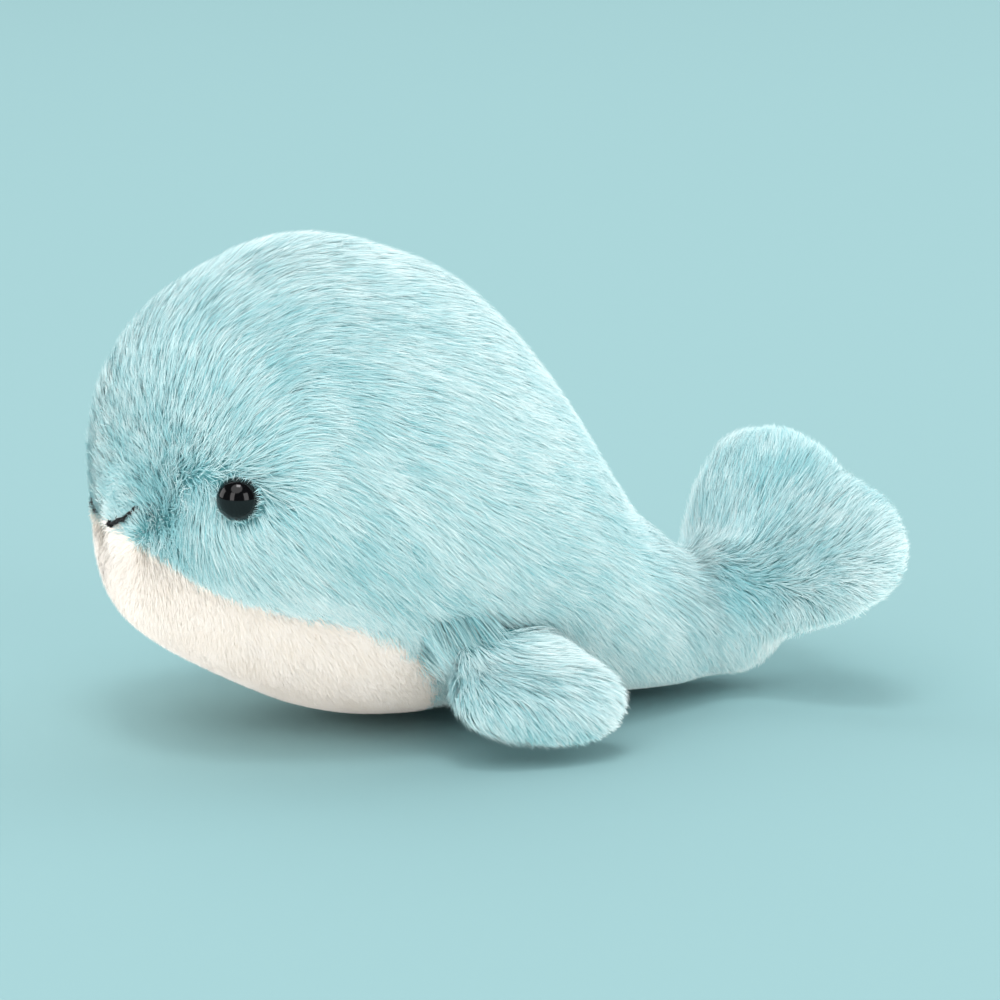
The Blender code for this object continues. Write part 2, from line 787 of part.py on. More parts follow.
def build():
    """Builds the whale and prints where its joints are."""
    empty_scene()
    parts = collection("plush_whale")
    cutters = collection("plush_whale_cutters")
    kinds = {
        "aqua": material("aqua_pile", AQUA, 0.9),
        "white": material("white_pile", WHITE, 0.9),
        "gloss": material("black_gloss_plastic", BLACK, 0.08),
        "plastic": material("white_plastic", PALE, 0.5),
        "thread": material("black_thread", BLACK, 0.7),
        "fibre": material("fibre_filling", FIBRE, 1.0),
    }
    whale = place("plush_whale", None, parts)
    bpy.context.view_layer.update()
    panels, skin, lining, tools = add_body(parts, cutters, whale, kinds)
    add_eyes(parts, cutters, whale, kinds, panels, skin, lining)
    add_mouth(parts, cutters, whale, kinds, panels, skin)
    flippers = add_flippers(parts, cutters, whale, kinds, panels, skin)
    hollow_panels(panels, tools)
    tail = add_tail(parts, cutters, whale, kinds)
    low, high = corners_of(parts)
    for item in list(cutters.objects):
        item.parent = whale
    whale.location = (-(low.x + high.x) / 2, -(low.y + high.y) / 2, 0)
    bpy.context.view_layer.update()
    print("size", tuple(round(value, 5) for value in high - low))
    print("lowest", round(low.z, 5))
    for hinge, along in flippers:
        at = tuple(round(value, 5) for value in hinge.matrix_world.translation)
        print(hinge.name, at, tuple(round(value, 5) for value in along))
    print("tail_hinge", tuple(round(value, 5) for value in tail.matrix_world.translation))


build()
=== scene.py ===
"""Looks of the plush whale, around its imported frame.

Stuffed forms carry the pile strand by strand, combed the way the photograph shows it.
"""

import json
import math

import bmesh
import bpy
import numpy as np
from mathutils import Matrix, Vector
from mathutils.bvhtree import BVHTree
from mathutils.kdtree import KDTree


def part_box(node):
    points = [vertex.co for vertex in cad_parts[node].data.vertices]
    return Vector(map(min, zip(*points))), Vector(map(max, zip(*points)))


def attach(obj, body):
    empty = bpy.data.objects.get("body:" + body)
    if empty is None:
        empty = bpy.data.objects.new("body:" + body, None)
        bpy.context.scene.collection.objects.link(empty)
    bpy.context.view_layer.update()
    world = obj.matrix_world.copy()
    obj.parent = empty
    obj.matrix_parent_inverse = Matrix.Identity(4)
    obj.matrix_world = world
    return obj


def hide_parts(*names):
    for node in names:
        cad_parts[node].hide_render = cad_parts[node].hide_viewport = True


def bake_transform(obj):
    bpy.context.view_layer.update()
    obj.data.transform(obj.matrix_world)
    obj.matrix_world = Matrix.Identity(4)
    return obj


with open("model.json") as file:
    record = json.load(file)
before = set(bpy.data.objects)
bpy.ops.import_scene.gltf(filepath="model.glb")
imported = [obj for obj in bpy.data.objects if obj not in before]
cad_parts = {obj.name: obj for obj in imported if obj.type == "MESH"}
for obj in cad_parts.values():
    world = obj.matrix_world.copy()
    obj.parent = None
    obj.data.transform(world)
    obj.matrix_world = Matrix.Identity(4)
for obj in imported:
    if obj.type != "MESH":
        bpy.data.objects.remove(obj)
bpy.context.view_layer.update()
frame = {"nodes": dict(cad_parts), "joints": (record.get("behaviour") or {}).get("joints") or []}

# Camera at the photograph's viewing angle
PHOTO_SIDE = 1000
CAMERA_TARGET = Vector((0, 0, 0.07))
CAMERA_DISTANCE = 1.2
CAMERA_AZIMUTH = math.radians(-20)
CAMERA_ELEVATION = math.radians(10.5)
CAMERA_LENS = 144
CAMERA_SENSOR = 36
CAMERA_SHIFT = (0.013, -0.024)

# Stuffed forms
VOXEL = 0.0022
WELD = 0.00002
SMOOTH_ROUNDS = 14
BELLY_PILE_LENGTH = 0.0046
BELLY_PILE_LIFT = math.radians(33)
BELLY_EDGE_WIDTH = 0.0018
BELLY_EDGE_SHIFT = 0.0015
BELLY_EDGE_FADE = 0.009
BELLY_SINK = 0.0016
MOUTH_GROOVE = 0.0015
MOUTH_GROOVE_WIDTH = 0.008
FLOOR_GAP = 0.0002

# Pile
STRAND_STEPS = 2
STRAND_SUNK = 0.0006
SEED = 7
STEEPEST = math.radians(74)
RIM_LEVEL = 0.92
RIM_SHARE = 0.36
TOUSLED_LENGTH = 0.0085
PARTING_LEVEL = 0.8
RIM_EXTRA = 1.0
STRAY_SHARE = 0.03
LAP_REACH = 0.016
LAP_HEIGHT = 0.012
LAP_CLEAR = 0.0006
TAIL_ZONE = 0.02
FLIPPER_ROOT_REACH = 0.012
FLIPPER_ROOT_DEPTH = 0.004

# How the pile of the body lies, read off the photograph: pixel across and down,
# degrees anticlockwise from the right, length in millimetres, degrees it stands up at its root
BODY_COMB = (
    (300, 245, 0, 11, 27),
    (220, 272, 25, 10, 28),
    (380, 262, -12, 12, 27),
    (160, 330, 55, 9, 33),
    (250, 330, 15, 12, 28),
    (330, 330, -10, 13, 27),
    (120, 400, 80, 7, 50),
    (190, 400, 62, 9, 33),
    (250, 400, 32, 11, 28),
    (310, 400, -8, 13, 27),
    (184, 455, 60, 7, 48),
    (205, 456, 62, 8, 33),
    (220, 448, 58, 9, 30),
    (240, 445, 46, 9, 27),
    (256, 462, 14, 10, 25),
    (186, 496, -78, 7, 50),
    (200, 496, -96, 8, 33),
    (213, 505, -100, 9, 28),
    (214, 535, -64, 10, 27),
    (290, 455, -14, 12, 25),
    (340, 440, -35, 13, 27),
    (290, 505, -42, 13, 25),
    (195, 524, -84, 9, 30),
    (207, 570, -68, 10, 27),
    (240, 545, -50, 11, 25),
    (130, 470, 100, 6.5, 58),
    (160, 500, 80, 6.5, 58),
    (160, 440, 75, 7, 52),
    (97, 440, 95, 6, 50),
    (110, 500, 120, 5, 55),
    (135, 495, 90, 5.5, 58),
    (160, 545, -60, 6, 52),
    (182, 570, -55, 8, 33),
    (110, 570, -92, 6, 24),
    (190, 622, -70, 7, 31),
    (290, 665, -45, 8, 30),
    (390, 690, -30, 9, 30),
    (436, 636, -50, 14, 48),
    (446, 690, -64, 14, 58),
    (260, 580, -42, 11, 25),
    (350, 600, -40, 12, 25),
    (380, 520, -42, 14, 23),
    (450, 600, -36, 14, 23),
    (430, 400, -22, 14, 25),
    (520, 480, -26, 14, 25),
    (420, 310, -18, 13, 25),
    (500, 370, -24, 13, 25),
    (570, 450, -30, 13, 25),
    (560, 560, -30, 14, 25),
    (640, 530, -15, 13, 25),
    (600, 620, -42, 14, 25),
    (660, 620, -50, 14, 25),
    (678, 548, -34, 13, 36),
    (700, 605, -54, 14, 27),
    (690, 670, -60, 14, 25),
    (645, 690, -65, 13, 25),
    (442, 660, -58, 14.5, 58),
)
TAIL_COMB = (
    (740, 460, 58, 12, 28),
    (705, 520, 70, 12, 30),
    (790, 430, 62, 12, 28),
    (775, 495, 52, 12, 30),
    (840, 460, 48, 12, 30),
    (850, 520, 38, 10, 30),
    (893, 540, 12, 9, 30),
    (885, 590, -15, 9, 30),
    (845, 615, -50, 10, 30),
    (800, 625, -72, 12, 33),
    (765, 640, -80, 12, 33),
    (755, 605, -66, 10, 31),
    (720, 565, -50, 7.5, 30),
    (760, 560, 5, 7.5, 30),
    (800, 560, 30, 7.5, 31),
    (830, 575, -15, 7.5, 31),
    (735, 530, 60, 8, 31),
)
FLIPPER_COMB = (
    (470, 645, -18, 10, 28),
    (530, 640, -8, 11, 28),
    (576, 650, -20, 11, 28),
    (600, 674, -32, 11, 28),
    (504, 668, -18, 10, 30),
    (552, 682, -28, 11, 30),
    (492, 686, -42, 9, 31),
    (462, 664, -66, 11, 30),
    (457, 694, -86, 11, 33),
    (474, 704, -64, 10, 33),
    (480, 716, -66, 9, 33),
    (528, 715, -55, 9, 34),
    (520, 732, -74, 9, 36),
    (575, 738, -74, 9, 36),
    (564, 712, -48, 10, 34),
    (600, 718, -45, 10, 33),
    (625, 700, -40, 11, 30),
    (614, 732, -58, 10, 33),
)

# Painted shade and light on the pile of the body, tail and flippers: darker in creases, gaps and
# hollows where shade falls, paler on lit tops and rims, with some of the pile's own mottling;
# pixel across and down, reach in millimetres, change of the strands' tint
BODY_PAINTED_SHADE_AND_LIGHT = (
    (150, 500, 12, -0.42),
    (170, 545, 9, -0.3),
    (118, 462, 8, -0.15),
    (200, 488, 6, -0.15),
    (375, 318, 7, -0.2),
    (340, 400, 8, -0.14),
    (215, 400, 10, -0.14),
    (270, 375, 8, -0.1),
    (350, 560, 12, -0.08),
    (300, 250, 25, 0.16),
    (420, 290, 24, 0.18),
    (510, 390, 20, 0.12),
    (300, 460, 9, 0.1),
    (240, 320, 20, -0.1),
    (180, 480, 10, 0.12),
    (440, 636, 5, -0.2),
    (478, 626, 5, -0.2),
)
TAIL_PAINTED_SHADE_AND_LIGHT = (
    (775, 482, 8, -0.3),
    (755, 500, 7, -0.22),
    (716, 562, 7, -0.3),
    (736, 592, 7, -0.3),
    (775, 560, 9, -0.15),
    (740, 430, 9, 0.15),
    (845, 445, 14, 0.25),
    (893, 540, 12, 0.3),
    (850, 600, 12, 0.25),
    (780, 640, 9, 0.2),
    (860, 590, 10, 0.15),
    (700, 548, 8, 0.3),
    (820, 575, 16, 0.12),
    (760, 450, 16, -0.14),
)
FLIPPER_PAINTED_SHADE_AND_LIGHT = (
    (485, 672, 5, -0.12),
    (535, 738, 5, -0.4),
    (573, 740, 5, -0.4),
    (555, 705, 6, -0.15),
    (618, 690, 12, 0.35),
    (555, 652, 14, 0.3),
    (510, 650, 10, 0.2),
)

# Colours as they show, red, green and blue from 0 to 255
# The roots are darker than the tips: painted shade deep among the strands of the pile
AQUA_ROOT_PAINTED_SHADE = (100, 170, 178)
AQUA_MIDDLE = (202, 234, 236)
AQUA_TIP = (244, 253, 252)
CREAM_ROOT_PAINTED_SHADE = (248, 241, 230)
CREAM_MIDDLE = (254, 250, 243)
CREAM_TIP = (255, 253, 249)
BACKDROP = (168, 212, 216)
FLOOR = (136, 171, 174)
FLOOR_BOUNCE = (246, 246, 243)
REFLECTED_ROOM = (74, 80, 84)

# Mouth
STITCH_LENGTH = 0.0036
STITCH_FIBRES = 12
KNOT_FIBRES = 44
KNOT_PLACE = 0.0115
KNOT_SIZE = np.array((0.0012, 0.0023, 0.0013))
LOOSE_FIBRES = 70
MOUTH_THICKNESS = 0.0013
MOUTH_CLEAR = 0.0016
MOUTH_COVERED = 0.0009
MOUTH_DEPTH = 0.001
MOUTH_SHOWN_LEFT = 0.003
MOUTH_SHOWN_RIGHT = 0.0017
KNOT_DEPTH_LEFT = -0.0002
KNOT_DEPTH_RIGHT = 0.0012
FIBRE_RADIUS = 0.0001

# Eyes
EYE_HAIRS = 170
EYE_STEPS = 14
EYE_TURN_STEPS = 56
EYE_EDGE_DEPTH = 0.0006
EYE_BACK_DEPTH = 0.0009
EYE_SHANK_RADIUS = 0.0016
EYE_SHANK_LENGTH = 0.006

# Studio
SOFTBOX_DISTANCE = 8.0
WHITE_LIGHT = (1.0, 1.0, 1.0)
# Name, azimuth and elevation, width and height in degrees, radiance, colour
SOFTBOXES = (
    ("left_softbox", -51, 19, 20, 36, 2.7, (1.0, 0.97, 0.97)),
    ("right_softbox", 22, 18, 24, 34, 2.7, WHITE_LIGHT),
    ("back_softbox", -118, 18, 30, 30, 2.0, WHITE_LIGHT),
    ("rear_softbox", 98, 22, 34, 36, 2.8, WHITE_LIGHT),
    ("top_softbox", -22, 78, 16, 14, 8.0, WHITE_LIGHT),
)
WORLD_LIGHT = 0.68

random = np.random.default_rng(SEED)


def tone(colour):
    """A shown colour as the linear one that a material takes."""
    shares = [value / 255 for value in colour]
    linear = [
        share / 12.92 if share <= 0.04045 else ((share + 0.055) / 1.055) ** 2.4
        for share in shares
    ]
    return (*linear, 1.0)


class Socket:
    """A node's output, on which Python's arithmetic adds Math nodes."""

    def __init__(self, finish, output):
        self.finish = finish
        self.output = output

    def math(self, operation, *values):
        """The result of a Math node on the values."""
        return self.finish.node(
            "ShaderNodeMath", {"operation": operation}, dict(enumerate(values))
        )

    def __add__(self, other):
        return self.math("ADD", self, other)

    __radd__ = __add__

    def __sub__(self, other):
        return self.math("SUBTRACT", self, other)

    def __rsub__(self, other):
        return self.math("SUBTRACT", other, self)

    def __mul__(self, other):
        return self.math("MULTIPLY", self, other)

    __rmul__ = __mul__

    def __pow__(self, other):
        return self.math("POWER", self, other)


class Nodes:
    """A node tree as it is put together."""

    def __init__(self, tree):
        self.tree = tree

    def node(self, kind, settings=None, sockets=None, output=0):
        """Adds a node, sets it up, feeds its sockets and returns one of its outputs."""
        node = self.tree.nodes.new(kind)
        for name, value in (settings or {}).items():
            if name == "stops":
                self.set_stops(node.color_ramp, value)
            else:
                setattr(node, name, value)
        for key, value in (sockets or {}).items():
            self.feed(node.inputs[key], value)
        return Socket(self, node.outputs[output])

    def set_stops(self, ramp, stops):
        """Gives a ramp its stops."""
        while len(ramp.elements) < len(stops):
            ramp.elements.new(1.0)
        for element, (position, colour) in zip(ramp.elements, stops):
            element.position = position
            element.color = colour

    def feed(self, target, value):
        """Links or sets a socket."""
        if isinstance(value, Socket):
            self.tree.links.new(value.output, target)
        else:
            target.default_value = value

    def ramp(self, factor, stops):
        """A colour that runs through the stops."""
        return self.node("ShaderNodeValToRGB", {"stops": stops}, {0: factor})

    def mix(self, factor, first, second, blend="MIX"):
        """Two colours mixed."""
        settings = {"data_type": "RGBA", "blend_type": blend}
        return self.node("ShaderNodeMix", settings, {0: factor, 6: first, 7: second}, 2)

    def noise(self, scale, detail=2.0, vector=None):
        """Noise over the object's own coordinates."""
        place = vector or self.node("ShaderNodeTexCoord", output=3)
        return self.node(
            "ShaderNodeTexNoise", {}, {"Vector": place, "Scale": scale, "Detail": detail}
        )


class Finish(Nodes):
    """A material as it is put together."""

    def __init__(self, name, constants):
        self.material = bpy.data.materials.new(name)
        self.material.use_nodes = True
        super().__init__(self.material.node_tree)
        self.shader = self.tree.nodes["Principled BSDF"]
        for socket, value in constants.items():
            self.shader.inputs[socket].default_value = value

    def shade(self, **links):
        """Feeds the shader's sockets, with underscores for spaces, and returns the material."""
        for name, value in links.items():
            self.feed(self.shader.inputs[name.replace("_", " ")], value)
        return self.material


def pile_finish(name, root, middle, tip, dark, light, sheen):
    """Pile that pales from root to tip, its darker root painted shade deep among the strands, each
    strand a little lighter or darker than the next.
    """
    finish = Finish(name, {"Roughness": 0.8, "Sheen Weight": sheen, "Sheen Roughness": 0.4})
    uv = finish.node("ShaderNodeUVMap", {"uv_map": "OFBake"})
    tint = finish.node("ShaderNodeSeparateXYZ", {}, {0: uv}, 0)
    along = finish.node("ShaderNodeSeparateXYZ", {}, {0: uv}, 1)
    # Darker towards the root: painted shade deep in the pile
    length = finish.ramp(along, ((0.0, tone(root)), (0.45, tone(middle)), (1.0, tone(tip))))
    strand = finish.ramp(tint, ((0.0, tone(dark)), (1.0, tone(light))))
    return finish.shade(Base_Color=finish.mix(1.0, length, strand, "MULTIPLY"))


def cloth_finish():
    """The knitted back of the pile, cream over the belly."""
    finish = Finish("pile_backing", {"Roughness": 0.95})
    belly = finish.node("ShaderNodeAttribute", {"attribute_name": "belly_share"}, output=2)
    grain = finish.noise(900.0, 3.0)
    aqua = finish.ramp(grain, ((0.3, tone((70, 138, 144))), (0.7, tone((104, 172, 176)))))
    cream = finish.ramp(grain, ((0.3, tone((206, 194, 180))), (0.7, tone((232, 224, 214)))))
    bump = finish.node(
        "ShaderNodeBump", {}, {"Strength": 0.4, "Distance": 0.0004, "Height": grain}
    )
    return finish.shade(Base_Color=finish.mix(belly, aqua, cream), Normal=bump)


def camera_axes():
    """The camera's place, and the directions to its right, up and forward."""
    turn = Matrix.Rotation(CAMERA_AZIMUTH, 3, "Z")
    back = turn @ Vector((0, -math.cos(CAMERA_ELEVATION), math.sin(CAMERA_ELEVATION)))
    right = turn @ Vector((1, 0, 0))
    return CAMERA_TARGET + back * CAMERA_DISTANCE, right, right.cross(-back), -back


def pixel_ray(across, down):
    """The camera's place and the direction in which a pixel of the photograph looks."""
    place, right, up, forward = camera_axes()
    focal = PHOTO_SIDE * CAMERA_LENS / CAMERA_SENSOR
    x = (across - PHOTO_SIDE / 2 + CAMERA_SHIFT[0] * PHOTO_SIDE) / focal
    y = (PHOTO_SIDE / 2 - down + CAMERA_SHIFT[1] * PHOTO_SIDE) / focal
    return place, (forward + right * x + up * y).normalized()


def ease(share):
    """A smooth step from 0 to 1, for arrays too."""
    share = np.clip(share, 0.0, 1.0)
    return share * share * (3 - 2 * share)


def unit(vectors):
    """Rows of vectors at length 1."""
    return vectors / np.maximum(np.linalg.norm(vectors, axis=-1, keepdims=True), 1e-12)


def rows_of(data, field, width):
    """A mesh's field as rows of an array."""
    values = np.empty(len(data) * width, np.float32)
    data.foreach_get(field, values)
    return values.reshape(-1, width).astype(float)


def evaluated_mesh(item, name):
    """The mesh of an object with its modifiers applied."""
    bpy.context.view_layer.update()
    graph = bpy.context.evaluated_depsgraph_get()
    mesh = bpy.data.meshes.new_from_object(item.evaluated_get(graph))
    mesh.name = name
    return mesh


def add_piece(name, mesh, material):
    """A new piece of the whale at the origin."""
    item = bpy.data.objects.new(name, mesh)
    bpy.context.scene.collection.objects.link(item)
    mesh.materials.clear()
    mesh.materials.append(material)
    return item


def node_tree_of(nodes):
    """A tree of the nodes' faces, for finding distances and casting rays."""
    work = bmesh.new()
    for node in nodes:
        work.from_mesh(frame["nodes"][node].data)
    tree = BVHTree.FromBMesh(work)
    work.free()
    return tree


def outer_shell(work):
    """Deletes all shells but the largest."""
    left = set(work.verts)
    shells = []
    while left:
        reached = {left.pop()}
        edge = list(reached)
        while edge:
            vertex = edge.pop()
            for link in vertex.link_edges:
                other = link.other_vert(vertex)
                if other in left:
                    left.discard(other)
                    reached.add(other)
                    edge.append(other)
        shells.append(reached)
    largest = max(shells, key=len)
    inner = [vertex for shell in shells if shell is not largest for vertex in shell]
    bmesh.ops.delete(work, geom=inner, context="VERTS")


def smoothed(work, rounds):
    """Evens out a bmesh."""
    for _ in range(rounds):
        bmesh.ops.smooth_vert(
            work, verts=work.verts, factor=0.5, use_axis_x=True, use_axis_y=True, use_axis_z=True
        )


def union_form(nodes):
    """The nodes' joined outer form as a bmesh of even, smooth faces."""
    work = bmesh.new()
    for node in nodes:
        work.from_mesh(frame["nodes"][node].data)
    bmesh.ops.remove_doubles(work, verts=work.verts, dist=WELD)
    mesh = bpy.data.meshes.new("form")
    work.to_mesh(mesh)
    work.free()
    item = bpy.data.objects.new("form", mesh)
    bpy.context.scene.collection.objects.link(item)
    remesh = item.modifiers.new("even", "REMESH")
    remesh.mode = "VOXEL"
    remesh.voxel_size = VOXEL
    even = evaluated_mesh(item, "even_form")
    bpy.data.objects.remove(item)
    work = bmesh.new()
    work.from_mesh(even)
    outer_shell(work)
    smoothed(work, SMOOTH_ROUNDS)
    return work


def drawn_in(work, depths):
    """Moves a form's surface inwards, by its own depth at each vertex."""
    work.normal_update()
    moves = [vertex.normal * -depth for vertex, depth in zip(work.verts, depths)]
    for vertex, move in zip(work.verts, moves):
        vertex.co += move
    smoothed(work, 3)
    for vertex in work.verts:
        vertex.co.z = max(vertex.co.z, 2 * FLOOR_GAP)


def places_of(work):
    """A bmesh's vertices and their normals as arrays."""
    work.normal_update()
    points = np.array([vertex.co for vertex in work.verts])
    return points, np.array([vertex.normal for vertex in work.verts])


def surface_of(mesh):
    """A tree of a mesh's faces."""
    work = bmesh.new()
    work.from_mesh(mesh)
    tree = BVHTree.FromBMesh(work)
    work.free()
    return tree


def comb_controls(tree, rows, mirrored):
    """Places, directions, lengths and lifts of the comb's rows, on both sides if mirrored."""
    _, right, up, forward = camera_axes()
    found = []
    for across, down, angle, length, lift in rows:
        place, ray = pixel_ray(across, down)
        point, normal, _, _ = tree.ray_cast(place, ray)
        if point is None:
            print("comb row misses the form:", across, down)
            continue
        turn = math.radians(angle)
        way = right * math.cos(turn) + up * math.sin(turn)
        way -= forward * (way.dot(normal) / min(forward.dot(normal), -0.35))
        way -= normal * way.dot(normal)
        way.normalize()
        for side in ((1, -1) if mirrored else (1,)):
            found.append((
                point.x, point.y * side, point.z, way.x, way.y * side, way.z,
                length / 1000, math.radians(lift),
            ))
    return np.array(found)


def painted_shade_and_light_places(tree, rows, mirrored):
    """Places of the rows of painted shade and light with their reach and change, on both sides if
    mirrored.
    """
    found = []
    for across, down, reach, change in rows:
        spot = tree.ray_cast(*pixel_ray(across, down))[0]
        if spot is None:
            print("patch misses the form:", across, down)
            continue
        for side in ((1, -1) if mirrored else (1,)):
            found.append((spot.x, spot.y * side, spot.z, reach / 1000, change))
    return np.array(found)


def painted_shade_and_light_at(points, shade_and_light_spots):
    """How much painted shade darkens and painted light pales the pile at points."""
    away = np.linalg.norm(points[:, None, :] - shade_and_light_spots[None, :, 0:3], axis=2)
    return (shade_and_light_spots[:, 4] * np.exp(-((away / shade_and_light_spots[:, 3]) ** 2))).sum(1)


def combed(points, normals, controls, reach=0.005):
    """The comb at points of a form: direction, length, lift and tousle.

    The direction is weak where the comb points out of the form.
    """
    away = points[:, None, :] - controls[None, :, 0:3]
    weight = 1 / ((away ** 2).sum(2) + reach ** 2) ** 2
    weight /= weight.sum(1, keepdims=True)
    blended = weight @ controls[:, 3:8]
    agreement = np.linalg.norm(blended[:, 0:3], axis=1)
    way = unit(blended[:, 0:3])
    way = way - normals * (way * normals).sum(1, keepdims=True)
    tousle = ease((TOUSLED_LENGTH - blended[:, 3]) / 0.003)
    tousle = np.maximum(tousle, 1.6 * ease((PARTING_LEVEL - agreement) / PARTING_LEVEL))
    return way, blended[:, 3], blended[:, 4], tousle


def rim_share(level):
    """1 where the comb points straight out of a form, and 0 where it lies along it."""
    return 1 - ease(level / RIM_LEVEL)


def shortened(length, level):
    """The pile's length, less at rims."""
    return length * (1 - (1 - RIM_SHARE) * rim_share(level))


def rises(level, lift, look):
    """How steeply strands leave their root and end at their tip, as heights by length."""
    bend = look["bend"] + (1 - look["bend"]) * rim_share(level)
    return np.tan(lift), np.tan(lift * bend)


def pile_height(length, level, lift, look):
    """How far the tips of the pile stand off its backing."""
    length = shortened(length, level)
    return sum(length / 2 * rise / np.hypot(level, rise) for rise in rises(level, lift, look))


def waves(points, size, seed, count=7):
    """Smooth noise from about -1 to 1 at points, with features of a size."""
    draw = np.random.default_rng(seed)
    ways = unit(draw.normal(size=(count, 3))) * (2 * math.pi / size) * draw.uniform(
        0.6, 1.5, (count, 1)
    )
    starts = draw.uniform(0, 2 * math.pi, count)
    return np.sin(points @ ways.T + starts).sum(1) / math.sqrt(count / 2) / 1.6


def strand_template():
    """One strand as a flat strip: across from -1 to 1, along from 0 to 1, its tip one point."""
    work = bmesh.new()
    bmesh.ops.create_grid(work, x_segments=1, y_segments=STRAND_STEPS, size=1.0)
    bmesh.ops.transform(work, matrix=Matrix.Diagonal((1, 0.5, 1, 1)), verts=work.verts)
    bmesh.ops.translate(work, vec=(0, 0.5, 0), verts=work.verts)
    ends = [vertex for vertex in work.verts if vertex.co.y > 0.99]
    bmesh.ops.pointmerge(work, verts=ends, merge_co=(0, 1, 0))
    work.verts.index_update()
    places = np.array([(vertex.co.x, vertex.co.y) for vertex in work.verts])
    faces = [[vertex.index for vertex in face.verts] for face in work.faces]
    work.free()
    return places, faces


def strands_mesh(name, strands):
    """A mesh of tapering, bent strips, one for each strand, with its tint and length as UV."""
    places, faces = strand_template()
    across, along = places[:, 0], places[:, 1]
    count = len(strands["root"])
    size = len(places)
    t = along[None, :, None]
    root, knee, tip = (strands[key][:, None, :] for key in ("root", "knee", "tip"))
    line = root * (1 - t) ** 2 + knee * 2 * t * (1 - t) + tip * t ** 2
    width = np.sin(np.clip(0.25 + along * 0.75, 0, 1) * math.pi) ** 0.8
    offset = strands["across"][:, None, :] * (across * width)[None, :, None]
    spread = offset * strands["half_width"][:, None, None]
    points = line + spread
    points[:, :, 2] = np.maximum(points[:, :, 2], FLOOR_GAP)
    corners = np.concatenate([np.array(face) for face in faces])
    sizes = np.array([len(face) for face in faces])
    mesh = bpy.data.meshes.new(name)
    mesh.vertices.add(count * size)
    mesh.vertices.foreach_set("co", points.astype(np.float32).ravel())
    mesh.loops.add(count * len(corners))
    mesh.polygons.add(count * len(faces))
    shift = np.arange(count)[:, None] * size
    mesh.loops.foreach_set("vertex_index", (corners[None, :] + shift).astype(np.int32).ravel())
    starts = np.concatenate([[0], np.cumsum(sizes)[:-1]])
    starts = starts[None, :] + np.arange(count)[:, None] * len(corners)
    mesh.polygons.foreach_set("loop_start", starts.astype(np.int32).ravel())
    mesh.update(calc_edges=True)
    uv = mesh.uv_layers.new(name="OFBake")
    tint = strands["tint"][:, None] + across[None, :] * 0.004
    pairs = np.stack([np.clip(tint, 0.0, 1.0), np.broadcast_to(along, tint.shape)], 2)
    uv.data.foreach_set("uv", pairs[:, corners, :].astype(np.float32).ravel())
    mesh.shade_smooth()
    out = np.repeat(strands["normal"], size, axis=0)
    own = rows_of(mesh.vertex_normals, "vector", 3)
    own *= np.where((own * out).sum(1, keepdims=True) < 0, -1, 1)
    mesh.normals_split_custom_set_from_vertices(unit(own * 0.5 + out * 0.5).tolist())
    return mesh


def scatter(mesh, density):
    """Random points of a form: their triangles' corners, and the share of each corner."""
    mesh.calc_loop_triangles()
    corners = np.empty(len(mesh.loop_triangles) * 3, np.int32)
    mesh.loop_triangles.foreach_get("vertices", corners)
    corners = corners.reshape(-1, 3)
    points = rows_of(mesh.vertices, "co", 3)
    triangle = points[corners]
    area = np.linalg.norm(
        np.cross(triangle[:, 1] - triangle[:, 0], triangle[:, 2] - triangle[:, 0]), axis=1
    ) / 2
    weight = area * density[corners].mean(1)
    count = int(weight.sum())
    sums = np.cumsum(weight)
    chosen = np.searchsorted(sums, (np.arange(count) + random.random(count)) * sums[-1] / count)
    chosen = np.minimum(chosen, len(corners) - 1)
    first, second = random.random(count), random.random(count)
    fold = first + second > 1
    first[fold], second[fold] = 1 - first[fold], 1 - second[fold]
    shares = np.stack([1 - first - second, first, second], 1)
    return corners[chosen], shares


def laid(tips, heights, tree, local):
    """The tips brought to their heights over the form, so that the pile follows its turns."""
    moved = tips.copy()
    for index, tip in enumerate(tips):
        place, normal, face, _ = tree.find_nearest(tip)
        off = Vector(tip) - place
        outside = off.dot(normal) > 0
        height = min(heights[index], local[face] * 1.15)
        if not outside or off.length > height * 1.1 or off.length < height * 0.85:
            moved[index] = place + (off.normalized() if outside else normal) * height
    return moved


